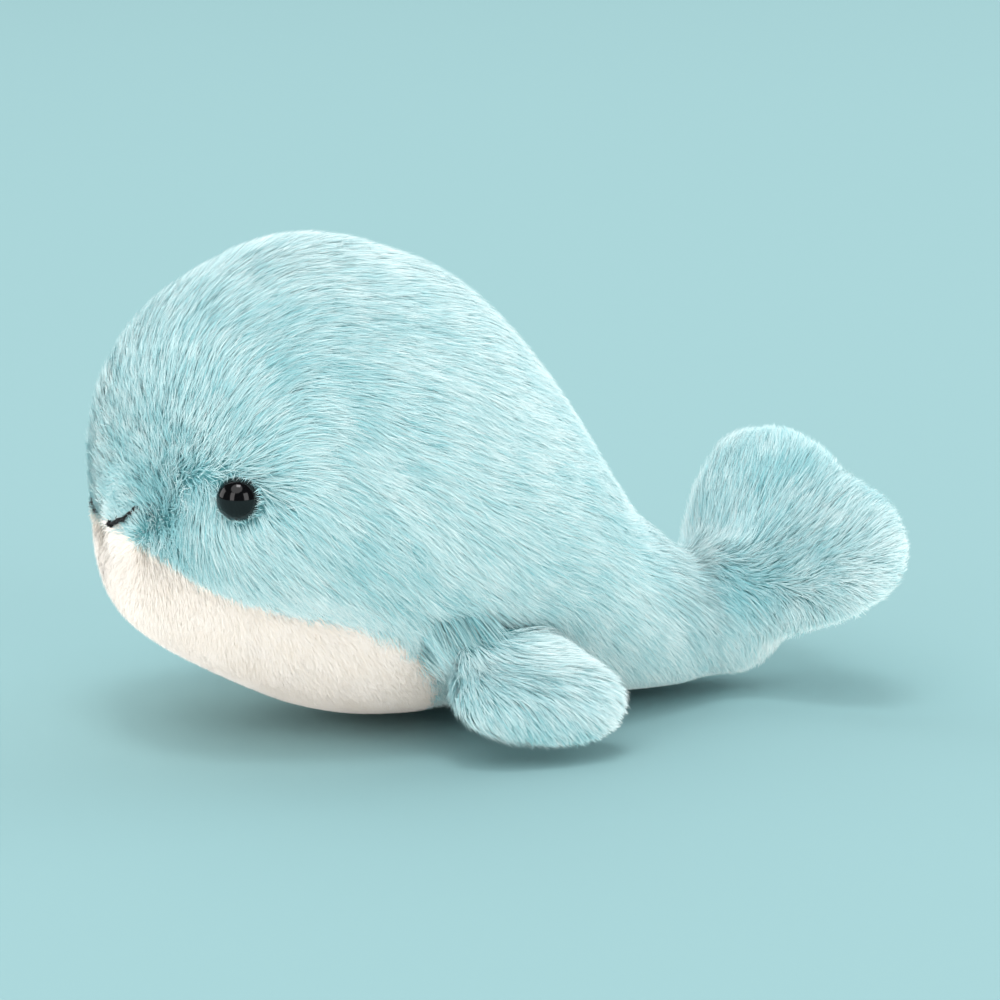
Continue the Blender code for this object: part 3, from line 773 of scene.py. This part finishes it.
def grown(mesh, fields, density, look):
    """Strands rooted on a form, which follow its comb in clumps."""
    corners, shares = scatter(mesh, density)

    def at(values):
        if values.ndim == 1:
            return (values[corners] * shares).sum(1)
        return (values[corners] * shares[:, :, None]).sum(1)

    root = at(rows_of(mesh.vertices, "co", 3))
    normal = unit(at(rows_of(mesh.vertex_normals, "vector", 3)))
    way = at(fields["way"])
    way = way - normal * (way * normal).sum(1, keepdims=True)
    level = np.maximum(np.linalg.norm(way, axis=1), 0.001)
    count = len(root)
    heads = random.permutation(count)[: max(2, int(count / look["clump_strands"]))]
    tree = KDTree(len(heads))
    for index, head in enumerate(heads):
        tree.insert(root[head], index)
    tree.balance()
    clump = np.array([tree.find(place)[1] for place in root])
    centre = root[heads][clump]
    tousle = at(fields["tousle"])
    turn = (
        random.normal(0, 1, len(heads))[clump] * (look["clump_turn"] + 0.5 * tousle)
        + random.normal(0, 1, count) * (look["strand_turn"] + 0.25 * tousle)
        + waves(root, look["wave_size"], 11) * look["wave_turn"]
    )
    stray = (random.random(count) < STRAY_SHARE) & (level > 0.8)
    turn = turn + stray * random.normal(0, 0.45, count)
    side = np.cross(normal, way)
    way = way * np.cos(turn)[:, None] + side * np.sin(turn)[:, None]
    lift = at(fields["lift"]) + random.normal(0, 1, len(heads))[clump] * look["clump_lift"]
    lift = np.clip(
        lift + random.normal(0, 1, count) * look["strand_lift"] + stray * 0.12, 0.1, STEEPEST
    )
    length = at(fields["length"]) * np.clip(
        0.95 + random.normal(0, 0.12, count) * level, 0.6, 1.25
    )
    length *= 1 + 0.07 * random.normal(0, 1, len(heads))[clump]
    heights = pile_height(length, level, lift, look)
    length = shortened(length, level)
    rise, end_rise = rises(level, lift, look)
    first = unit(way + normal * rise[:, None])
    last = unit(way + normal * end_rise[:, None])
    pull = centre - root
    pull -= normal * (pull * normal).sum(1, keepdims=True)
    pull *= (look["pull"] * level * np.clip(1 - 0.7 * tousle, 0, 1))[:, None]
    curl = unit(side) * (random.normal(0, 0.32, count) * length * np.minimum(tousle, 1))[:, None]
    root = root - normal * STRAND_SUNK
    knee = root + first * length[:, None] / 2 + pull * 0.35 + curl
    tip = root + (first + last) * length[:, None] / 2 + pull
    out = rows_of(mesh.vertex_normals, "vector", 3)
    local = fields["way"] - out * (fields["way"] * out).sum(1, keepdims=True)
    local = pile_height(fields["length"], np.linalg.norm(local, axis=1), fields["lift"], look)
    local = [np.mean([local[vertex] for vertex in face.vertices]) for face in mesh.polygons]
    tip = laid(tip, heights, surface_of(mesh), local)
    roll = random.normal(0, look["roll"], count)
    across = unit(np.cross(tip - root, normal))
    lie = unit(np.cross(across, tip - root))
    across = across * np.cos(roll)[:, None] + lie * np.sin(roll)[:, None]
    # The tint takes the painted shade and light of fields["shade"], the paler pile by the belly's
    # edge, and random mottling
    tint = (
        0.5
        + at(fields["shade"])
        + waves(root, 0.02, 23) * 0.12
        + waves(root * np.array([0.5, 1, 1]), 0.006, 29) * (0.06 + 0.2 * tousle)
        + random.normal(0, 1, len(heads))[clump] * 0.08
        + random.normal(0, 1, count) * 0.23
    )
    return {
        "root": root, "knee": knee, "tip": tip, "across": across, "normal": normal,
        "half_width": look["half_width"] * random.uniform(0.7, 1.2, count),
        "tint": np.clip(tint, 0.02, 0.98),
    }


def chosen(strands, keep):
    """Some of the strands."""
    return {key: values[keep] for key, values in strands.items()}


def away_from_line(points, line):
    """Distance of points from a line of places."""
    return np.min([np.linalg.norm(points - place, axis=1) for place in line], axis=0)


def clear_of_face(strands, mouth):
    """The strands that leave the eyes' domes and the mouth's visible thread free."""
    left, right = mouth[mouth[:, 1] < -KNOT_PLACE * 0.85], mouth[mouth[:, 1] > KNOT_PLACE * 0.85]
    keep = away_from_line(strands["root"], left) > MOUTH_CLEAR
    keep &= away_from_line(strands["root"], right) > MOUTH_COVERED
    for side in ("left", "right"):
        rim, axis, radius, height = eye_place(side)
        rim, axis = np.array(rim), np.array(axis)
        for key, share in (("root", 0.84), ("knee", 0.88), ("tip", 0.85)):
            off = strands[key] - rim
            rise = off @ axis
            away = np.linalg.norm(off - rise[:, None] * axis, axis=1)
            keep &= (away > radius * share) | (np.abs(rise) > 3 * radius)
    return chosen(strands, keep)


def lap_over(strands, nodes):
    """Lays the strands that are rooted before a flipper's front edge over it."""
    tree = node_tree_of(nodes)
    front = min(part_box(node)[0][0] for node in nodes)
    root, normal = strands["root"], strands["normal"]
    for index in np.flatnonzero(np.abs(root[:, 0] - front) < LAP_REACH):
        if tree.find_nearest(root[index], LAP_REACH)[0] is None:
            continue
        out = normal[index]
        if tree.ray_cast(root[index], out, LAP_REACH)[0] is not None:
            continue
        for key in ("knee", "tip"):
            point = strands[key][index]
            hit = tree.ray_cast(point + out * LAP_HEIGHT, -out, LAP_HEIGHT)[0]
            if hit is not None:
                strands[key][index] = np.array(hit) + out * LAP_CLEAR


LONG_PILE = {
    "clump_strands": 16, "clump_turn": 0.07, "strand_turn": 0.1,
    "wave_size": 0.03, "wave_turn": 0.12,
    "clump_lift": 0.04, "strand_lift": 0.07, "bend": 0.2, "pull": 0.28, "roll": 0.35,
    "half_width": 0.00011,
}
SHORT_PILE = {
    "clump_strands": 12, "clump_turn": 0.06, "strand_turn": 0.22,
    "wave_size": 0.02, "wave_turn": 0.2,
    "clump_lift": 0.02, "strand_lift": 0.06, "bend": 0.4, "pull": 0.04, "roll": 0.2,
    "half_width": 0.00013,
}
AQUA_DENSITY = 5.8e6
TAIL_DENSITY = 6.0e6
BELLY_DENSITY = 1.0e7
FLIPPER_DENSITY = 6.5e6

aqua_pile = pile_finish(
    "aqua_pile_finish", AQUA_ROOT_PAINTED_SHADE, AQUA_MIDDLE, AQUA_TIP, (160, 212, 218), (255, 255, 255), 0.6
)
white_pile = pile_finish(
    "white_pile_finish", CREAM_ROOT_PAINTED_SHADE, CREAM_MIDDLE, CREAM_TIP, (246, 242, 236), (255, 255, 255), 1.0
)
backing = cloth_finish()

joints = {joint["name"]: joint for joint in frame["joints"]}
TAIL_HINGE = Vector(joints["tail_bend"]["pos_m"])
TAIL_WAY = Vector((1, 0, 0.1)).normalized()

SIDE_NODES = ("left_side_panel", "right_side_panel")
BODY_NODES = (*SIDE_NODES, "belly_panel", "body_stuffing")
TAIL_NODES = ("tail_upper_panel", "tail_lower_panel", "tail_stuffing")


def add_body_and_tail():
    """The stuffed body and tail in one skin, and their pile."""
    work = union_form(BODY_NODES + TAIL_NODES)
    belly_tree = node_tree_of(("belly_panel",))
    side_tree = node_tree_of(SIDE_NODES)
    tree = BVHTree.FromBMesh(work)
    belly, edge = [], []
    for vertex in work.verts:
        near = belly_tree.find_nearest(vertex.co)[3]
        far = side_tree.find_nearest(vertex.co)[3]
        inside = far - near + BELLY_EDGE_SHIFT
        belly.append(inside / (2 * BELLY_EDGE_WIDTH) + 0.5)
        edge.append(-inside / BELLY_EDGE_FADE)
    belly, edge = ease(np.array(belly)), ease(np.array(edge))
    controls = np.concatenate([
        comb_controls(tree, BODY_COMB, True),
        comb_controls(tree, TAIL_COMB, False),
    ])
    way, length, lift, tousle = combed(*places_of(work), controls)
    length = length * (0.42 + 0.58 * edge)
    tousle = np.maximum(tousle, 0.8 * (1 - edge))
    level = np.linalg.norm(way, axis=1)
    long_height = pile_height(length, level, lift, LONG_PILE)
    short_height = pile_height(BELLY_PILE_LENGTH, level, BELLY_PILE_LIFT, SHORT_PILE)
    mouth = mouth_line()
    groove = np.exp(-((away_from_line(places_of(work)[0], mouth) / MOUTH_GROOVE_WIDTH) ** 2))
    points, _ = places_of(work)
    # Painted shade and light: the strands' tint darker in creases and gaps, paler on the lit top
    # and rims
    shade_and_light_spots = [painted_shade_and_light_places(tree, BODY_PAINTED_SHADE_AND_LIGHT, True), painted_shade_and_light_places(tree, TAIL_PAINTED_SHADE_AND_LIGHT, False)]
    shade = painted_shade_and_light_at(points, np.concatenate(shade_and_light_spots))
    shade += 0.2 * (1 - edge)
    sink = BELLY_SINK * belly * ease((points[:, 2] - 0.014) / 0.02)
    drawn_in(
        work, long_height + (short_height - long_height) * belly + MOUTH_GROOVE * groove + sink
    )
    mesh = bpy.data.meshes.new("stuffed_body_and_tail")
    work.to_mesh(mesh)
    work.free()
    mesh.shade_smooth()
    share = mesh.attributes.new("belly_share", "FLOAT", "POINT")
    share.data.foreach_set("value", belly.astype(np.float32))
    form = add_piece("stuffed_body_and_tail", mesh, backing)
    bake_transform(form)
    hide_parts(*BODY_NODES, *TAIL_NODES)
    points = rows_of(mesh.vertices, "co", 3)
    normals = rows_of(mesh.vertex_normals, "vector", 3)
    on_tail = ease((points - np.array(TAIL_HINGE)) @ np.array(TAIL_WAY) / TAIL_ZONE)
    under = ease((0.012 - points[:, 2]) / 0.008) * (normals[:, 2] < -0.2)
    density = AQUA_DENSITY + (TAIL_DENSITY - AQUA_DENSITY) * on_tail
    density = density * (1 - belly) * (1 - 0.6 * under) * (1 + RIM_EXTRA * rim_share(level))
    fields = {
        "way": way, "length": length * (1 - 0.5 * under), "lift": lift * (1 - 0.4 * under),
        "tousle": tousle, "shade": shade,
    }
    mouth = mouth_seat(mesh)
    strands = clear_of_face(grown(mesh, fields, density, LONG_PILE), mouth)
    for side in ("left", "right"):
        lap_over(strands, [f"{side}_flipper_{part}" for part in ("upper_panel", "lower_panel")])
    root = strands["root"]
    tail_share = (root - np.array(TAIL_HINGE)) @ np.array(TAIL_WAY) / TAIL_ZONE
    for side, on_side in (("left", root[:, 1] < 0), ("right", root[:, 1] >= 0)):
        rest = np.flatnonzero(on_side & (tail_share < 1))
        rest = rest[np.argsort(root[rest, 0])]
        for part, group in zip(("face", "shoulder", "flank", "rear"), np.array_split(rest, 4)):
            name = f"{side}_{part}_pile"
            piece = add_piece(name, strands_mesh(name, chosen(strands, group)), aqua_pile)
            if part == "rear":
                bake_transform(piece)
            else:
                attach(piece, "body")
        name = f"{side}_lobe_pile"
        group = np.flatnonzero(on_side & (tail_share >= 1))
        piece = add_piece(name, strands_mesh(name, chosen(strands, group)), aqua_pile)
        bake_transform(piece)
    fields = {
        "way": way,
        "length": np.full(len(points), BELLY_PILE_LENGTH),
        "lift": BELLY_PILE_LIFT * (1 - 0.6 * under),
        "tousle": np.zeros(len(points)),
        "shade": np.zeros(len(points)),
    }
    density = BELLY_DENSITY * belly * (1 - 0.5 * under)
    strands = clear_of_face(grown(mesh, fields, density, SHORT_PILE), mouth)
    for side, on_side in (
        ("left", strands["root"][:, 1] < 0), ("right", strands["root"][:, 1] >= 0)
    ):
        name = f"{side}_belly_pile"
        piece = add_piece(name, strands_mesh(name, chosen(strands, on_side)), white_pile)
        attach(piece, "body")
    add_mouth(mouth)


def add_flipper(side, comb=None):
    """A stuffed flipper with its pile, its root in the body. Returns its comb and its spots of
    painted shade and light.
    """
    nodes = [f"{side}_flipper_{part}" for part in ("upper_panel", "lower_panel", "stuffing")]
    joint = joints[f"{side}_flipper_lift"]
    hinge, axis = Vector(joint["pos_m"]), Vector(joint["axis"]).normalized()
    low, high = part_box(nodes[0])
    middle = (low + high) / 2
    out = middle - hinge
    out -= axis * out.dot(axis)
    out.normalize()
    work = union_form(nodes)
    reach = np.array([(vertex.co - hinge).dot(out) for vertex in work.verts])
    root = 1 - ease(reach / FLIPPER_ROOT_REACH)
    tree = BVHTree.FromBMesh(work)
    controls, shade_and_light_spots = comb or (
        comb_controls(tree, FLIPPER_COMB, False), painted_shade_and_light_places(tree, FLIPPER_PAINTED_SHADE_AND_LIGHT, False)
    )
    points, normals = places_of(work)
    way, length, lift, tousle = combed(points, normals, controls)
    # Painted shade and light on the flipper: darker in its crease and rim gaps, paler where lit
    shade = painted_shade_and_light_at(points, shade_and_light_spots)
    level = np.linalg.norm(way, axis=1)
    drawn_in(work, pile_height(length, level, lift, LONG_PILE) * (1 - root))
    for vertex, share in zip(work.verts, root):
        vertex.co -= out * FLIPPER_ROOT_DEPTH * share
    name = f"{side}_stuffed_flipper"
    mesh = bpy.data.meshes.new(name)
    work.to_mesh(mesh)
    work.free()
    mesh.shade_smooth()
    form = add_piece(name, mesh, backing)
    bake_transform(form)
    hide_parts(*nodes)
    fields = {"way": way, "length": length, "lift": lift, "tousle": tousle, "shade": shade}
    density = FLIPPER_DENSITY * ease((reach - 0.001) / 0.005) * (1 + RIM_EXTRA * rim_share(level))
    strands = grown(mesh, fields, density, LONG_PILE)
    name = f"{side}_flipper_pile"
    piece = add_piece(name, strands_mesh(name, strands), aqua_pile)
    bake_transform(piece)
    return controls, shade_and_light_spots


def eye_place(side):
    """The middle of an eye's rim, its outward axis, its radius and its dome's height."""
    eye = rows_of(frame["nodes"][f"{side}_eye"].data.vertices, "co", 3)
    washer = rows_of(frame["nodes"][f"{side}_eye_washer"].data.vertices, "co", 3)
    axis = unit(eye.mean(0) - washer.mean(0))
    rise = (eye - washer.mean(0)) @ axis
    away = np.linalg.norm(eye - washer.mean(0) - rise[:, None] * axis, axis=1)
    radius = away.max()
    rim = rise[away > radius * 0.98].max()
    return Vector(washer.mean(0) + axis * rim), Vector(axis), radius, rise.max() - rim


def add_eyes():
    """Glossy safety eyes, each with its dome, rim and shank."""
    finish = Finish("black_gloss_finish", {
        "Base Color": tone((6, 6, 7)), "Roughness": 0.07, "Specular IOR Level": 0.4,
    })
    scratch = finish.noise(2600.0, 2.0)
    black = finish.shade(Roughness=0.05 + scratch * 0.06)
    for side in ("left", "right"):
        rim, axis, radius, height = eye_place(side)
        turns = [math.pi / 2 * step / EYE_STEPS for step in range(EYE_STEPS + 1)]
        profile = [(radius * math.sin(turn), height * math.cos(turn)) for turn in turns]
        profile += [
            (radius, -EYE_EDGE_DEPTH),
            (radius * 0.94, -EYE_BACK_DEPTH),
            (EYE_SHANK_RADIUS, -EYE_BACK_DEPTH),
            (EYE_SHANK_RADIUS, -EYE_SHANK_LENGTH),
            (0, -EYE_SHANK_LENGTH),
        ]
        work = bmesh.new()
        points = [work.verts.new((x, 0, z)) for x, z in profile]
        edges = [work.edges.new(pair) for pair in zip(points, points[1:])]
        bmesh.ops.spin(
            work, geom=points + edges, cent=(0, 0, 0), axis=(0, 0, 1), angle=2 * math.pi,
            steps=EYE_TURN_STEPS, use_merge=True,
        )
        bmesh.ops.remove_doubles(work, verts=work.verts, dist=WELD)
        bmesh.ops.recalc_face_normals(work, faces=work.faces)
        turn = axis.to_track_quat("Z", "Y").to_matrix().to_4x4()
        bmesh.ops.transform(work, matrix=Matrix.Translation(rim) @ turn, verts=work.verts)
        mesh = bpy.data.meshes.new(f"{side}_eye_dome")
        work.to_mesh(mesh)
        work.free()
        mesh.shade_smooth()
        mesh.set_sharp_from_angle(angle=math.radians(50))
        piece = add_piece(f"{side}_eye_dome", mesh, black)
        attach(piece, "body")
        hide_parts(f"{side}_eye")
        add_eye_pile(side, np.array(rim), np.array(axis), radius, height)


def add_eye_pile(side, rim, axis, radius, height):
    """Hairs of the pile that stand up round an eye and lie over its edge."""
    first = unit(np.cross(axis, (0, 0, 1)))
    second = np.cross(axis, first)
    turn = random.uniform(0, 2 * math.pi, EYE_HAIRS)
    lean = turn + random.normal(0, 0.22, EYE_HAIRS)

    def around(angle, share, rise):
        out = np.cos(angle)[:, None] * first + np.sin(angle)[:, None] * second
        return rim + out * (radius * share)[:, None] + axis * rise[:, None]

    share = random.uniform(0.86, 1.02, EYE_HAIRS)
    over = height * np.sqrt(np.clip(1 - share ** 2, 0, 1)) + random.uniform(
        0.0001, 0.0005, EYE_HAIRS
    )
    root = around(
        turn, random.uniform(1.05, 1.45, EYE_HAIRS), random.uniform(-0.0022, -0.0012, EYE_HAIRS)
    )
    knee = around((turn + lean) / 2, random.uniform(1.0, 1.15, EYE_HAIRS), over * 0.5)
    tip = around(lean, share, over)
    strands = {
        "root": root, "knee": knee, "tip": tip, "across": unit(np.cross(tip - root, axis)),
        "normal": np.tile(axis, (EYE_HAIRS, 1)),
        "half_width": random.uniform(0.00006, 0.00011, EYE_HAIRS),
        "tint": np.clip(random.normal(0.35, 0.2, EYE_HAIRS), 0.02, 0.98),
    }
    name = f"{side}_eye_pile"
    piece = add_piece(name, strands_mesh(name, strands), aqua_pile)
    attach(piece, "body")


def fibres(name, lines, radius, material):
    """Thin fibres along lines of points as one piece."""
    curve = bpy.data.curves.new(name, "CURVE")
    curve.dimensions = "3D"
    curve.bevel_depth = radius
    curve.bevel_resolution = 0
    curve.use_fill_caps = True
    for line in lines:
        spline = curve.splines.new("POLY")
        spline.points.add(len(line) - 1)
        for index, (point, place) in enumerate(zip(spline.points, line)):
            point.co = (*place, 1.0)
            point.radius = 0.5 if index in (0, len(line) - 1) else 1.0
    item = bpy.data.objects.new(name, curve)
    bpy.context.scene.collection.objects.link(item)
    mesh = evaluated_mesh(item, name)
    bpy.data.objects.remove(item)
    mesh.shade_smooth()
    return add_piece(name, mesh, material)


def mouth_line():
    """Points along the middle of the mouth's node, from left to right."""
    points = rows_of(frame["nodes"]["mouth_stitches"].data.vertices, "co", 3)
    edges = np.linspace(points[:, 1].min(), points[:, 1].max(), 31)
    line = []
    for low, high in zip(edges, edges[1:]):
        inside = points[(points[:, 1] >= low) & (points[:, 1] <= high)]
        if len(inside):
            line.append((inside.min(0) + inside.max(0)) / 2)
    return np.array(line)


def mouth_seat(mesh):
    """The mouth's thread drawn into the pile: half sunk at the cheeks, hidden in the middle."""
    tree = surface_of(mesh)
    seat = []
    for point in mouth_line():
        place, normal, _, _ = tree.find_nearest(point)
        shown = float(ease((abs(point[1]) - KNOT_PLACE * 0.7) / (KNOT_PLACE * 0.3)))
        rise = MOUTH_SHOWN_LEFT if point[1] < 0 else MOUTH_SHOWN_RIGHT
        seat.append(place + normal * (-MOUTH_DEPTH + rise * shown))
    return np.array(seat)


def add_mouth(line):
    """The smile: back stitches of black yarn with a knot at each side and loose fibres."""
    thread = Finish("black_thread_finish", {"Roughness": 0.85, "Sheen Weight": 0.1})
    colour = thread.ramp(
        thread.noise(3000.0), ((0.2, tone((8, 10, 12))), (0.8, tone((26, 30, 32))))
    )
    thread.shade(Base_Color=colour)
    along = np.concatenate([[0], np.cumsum(np.linalg.norm(np.diff(line, axis=0), axis=1))])
    total = along[-1]
    out = unit(np.array((-0.95, 0.0, 0.3)))

    def place(distance):
        return np.array([np.interp(distance, along, line[:, axis]) for axis in range(3)])

    lines = []
    for start in np.arange(0, total - STITCH_LENGTH, STITCH_LENGTH * 0.8):
        middle = 1 - abs(start + STITCH_LENGTH / 2 - total / 2) / (total / 2)
        thick = MOUTH_THICKNESS * (0.5 + 0.5 * middle)
        for _ in range(STITCH_FIBRES):
            side = random.normal(0, thick / 3, 3)
            wander = random.normal(0, thick / 8, (5, 3))
            steps = np.linspace(start - 0.0004, start + STITCH_LENGTH + 0.0004, 5)
            rise = np.array([-0.0009, 0.0001, 0.0003, 0.0001, -0.0009])
            lines.append(
                [place(step) + side + wander[i] + out * rise[i] for i, step in enumerate(steps)]
            )
    for sign in (-1, 1):
        sunk = KNOT_DEPTH_RIGHT if sign > 0 else KNOT_DEPTH_LEFT
        heart = line[np.argmin(np.abs(line[:, 1] - sign * KNOT_PLACE))] - out * sunk
        for _ in range(KNOT_FIBRES):
            ways = unit(random.normal(0, 1, (5, 3))) * random.uniform(0.3, 1.0, (5, 1)) * KNOT_SIZE
            lines.append(list(heart + ways))
    for _ in range(LOOSE_FIBRES):
        start = place(random.uniform(0, total)) + random.normal(0, MOUTH_THICKNESS / 4, 3)
        way = unit(random.normal(0, 1, 3) + out)
        curl = random.normal(0, 0.0003, 3)
        reach = random.uniform(0.0005, 0.0012)
        lines.append(
            [start, start + way * reach * 0.5 + curl * 0.5, start + way * reach + curl * 1.5]
        )
    piece = fibres("mouth_yarn", lines, FIBRE_RADIUS, thread.material)
    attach(piece, "body")
    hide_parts("mouth_stitches")


def finish_cad_nodes():
    """Finishes of the CAD nodes that stay."""
    plastic = Finish("washer_plastic", {"Roughness": 0.5})
    grain = plastic.noise(400.0)
    colour = plastic.ramp(grain, ((0.0, tone((224, 222, 216))), (1.0, tone((240, 238, 234)))))
    plastic.shade(Base_Color=colour)
    for node, material in (
        ("left_eye_washer", plastic.material),
        ("right_eye_washer", plastic.material),
    ):
        mesh = frame["nodes"][node].data
        mesh.materials.clear()
        mesh.materials.append(material)


def sun(name, place, spread, strength):
    """Soft, even light from the direction of a place."""
    light = bpy.data.lights.new(name, "SUN")
    light.angle = spread
    light.energy = strength
    item = bpy.data.objects.new(name, light)
    bpy.context.scene.collection.objects.link(item)
    item.location = place
    item.rotation_euler = (-Vector(place)).to_track_quat("-Z", "Y").to_euler()


def softbox(name, azimuth, elevation, width, height, radiance, colour):
    """A lit panel that faces the whale, seen from it in a direction, with its size in degrees."""
    light = bpy.data.lights.new(name, "AREA")
    light.shape = "RECTANGLE"
    light.size = 2 * SOFTBOX_DISTANCE * math.tan(math.radians(width / 2))
    light.size_y = 2 * SOFTBOX_DISTANCE * math.tan(math.radians(height / 2))
    light.energy = radiance * math.pi * light.size * light.size_y
    light.color = colour
    item = bpy.data.objects.new(name, light)
    bpy.context.scene.collection.objects.link(item)
    turn, rise = math.radians(azimuth), math.radians(elevation)
    out = Vector(
        (math.sin(turn) * math.cos(rise), -math.cos(turn) * math.cos(rise), math.sin(rise))
    )
    item.location = CAMERA_TARGET + out * SOFTBOX_DISTANCE
    item.rotation_euler = (-out).to_track_quat("-Z", "Y").to_euler()


def add_studio():
    """Floor, lights, world and camera."""
    scene = bpy.context.scene
    scene.view_settings.view_transform = "Standard"
    work = bmesh.new()
    bmesh.ops.create_circle(work, cap_ends=True, segments=96, radius=9.0)
    mesh = bpy.data.meshes.new("floor")
    work.to_mesh(mesh)
    work.free()
    floor = bpy.data.objects.new("floor", mesh)
    scene.collection.objects.link(floor)
    finish = Finish("floor_finish", {"Roughness": 1.0, "Specular IOR Level": 0.0})
    patch = finish.noise(0.6, 1.0)
    colour = finish.ramp(
        patch, ((0.0, tone(FLOOR)), (1.0, tone([value * 1.01 for value in FLOOR])))
    )
    seen = finish.node("ShaderNodeLightPath", output=0) + finish.node(
        "ShaderNodeLightPath", output=3
    )
    mesh.materials.append(finish.shade(Base_Color=finish.mix(seen, tone(FLOOR_BOUNCE), colour)))
    sun("key", (-0.5, -0.7, 1.6), math.radians(50), 1.0)
    sun("back", (0.1, 1.0, 0.9), math.radians(60), 1.2)
    for row in SOFTBOXES:
        softbox(*row)
    world = bpy.data.worlds.new("studio")
    world.use_nodes = True
    nodes = Nodes(world.node_tree)
    camera_ray = nodes.node("ShaderNodeLightPath", output=0)
    glossy_ray = nodes.node("ShaderNodeLightPath", output=3)
    light = nodes.node(
        "ShaderNodeBackground", {}, {"Color": (1, 1, 1, 1), "Strength": WORLD_LIGHT}
    )
    colour = nodes.mix(glossy_ray, tone(BACKDROP), tone(REFLECTED_ROOM))
    seen = nodes.node("ShaderNodeBackground", {}, {"Color": colour})
    either = nodes.node("ShaderNodeMixShader", {}, {0: camera_ray + glossy_ray, 1: light, 2: seen})
    nodes.feed(nodes.tree.nodes["World Output"].inputs["Surface"], either)
    scene.world = world
    place, right, up, forward = camera_axes()
    data = bpy.data.cameras.new("camera")
    data.lens = CAMERA_LENS
    data.sensor_width = CAMERA_SENSOR
    data.shift_x, data.shift_y = CAMERA_SHIFT
    camera = bpy.data.objects.new("camera", data)
    scene.collection.objects.link(camera)
    camera.matrix_world = Matrix((right, up, -forward)).transposed().to_4x4()
    camera.location = place
    scene.camera = camera


add_body_and_tail()
flipper_comb, flipper_shade_and_light_spots = add_flipper("left")
mirror = np.array((1, -1, 1, 1, -1, 1, 1, 1))
add_flipper("right", (flipper_comb * mirror, flipper_shade_and_light_spots * mirror[[0, 1, 2, 6, 7]]))
add_eyes()
finish_cad_nodes()
add_studio()
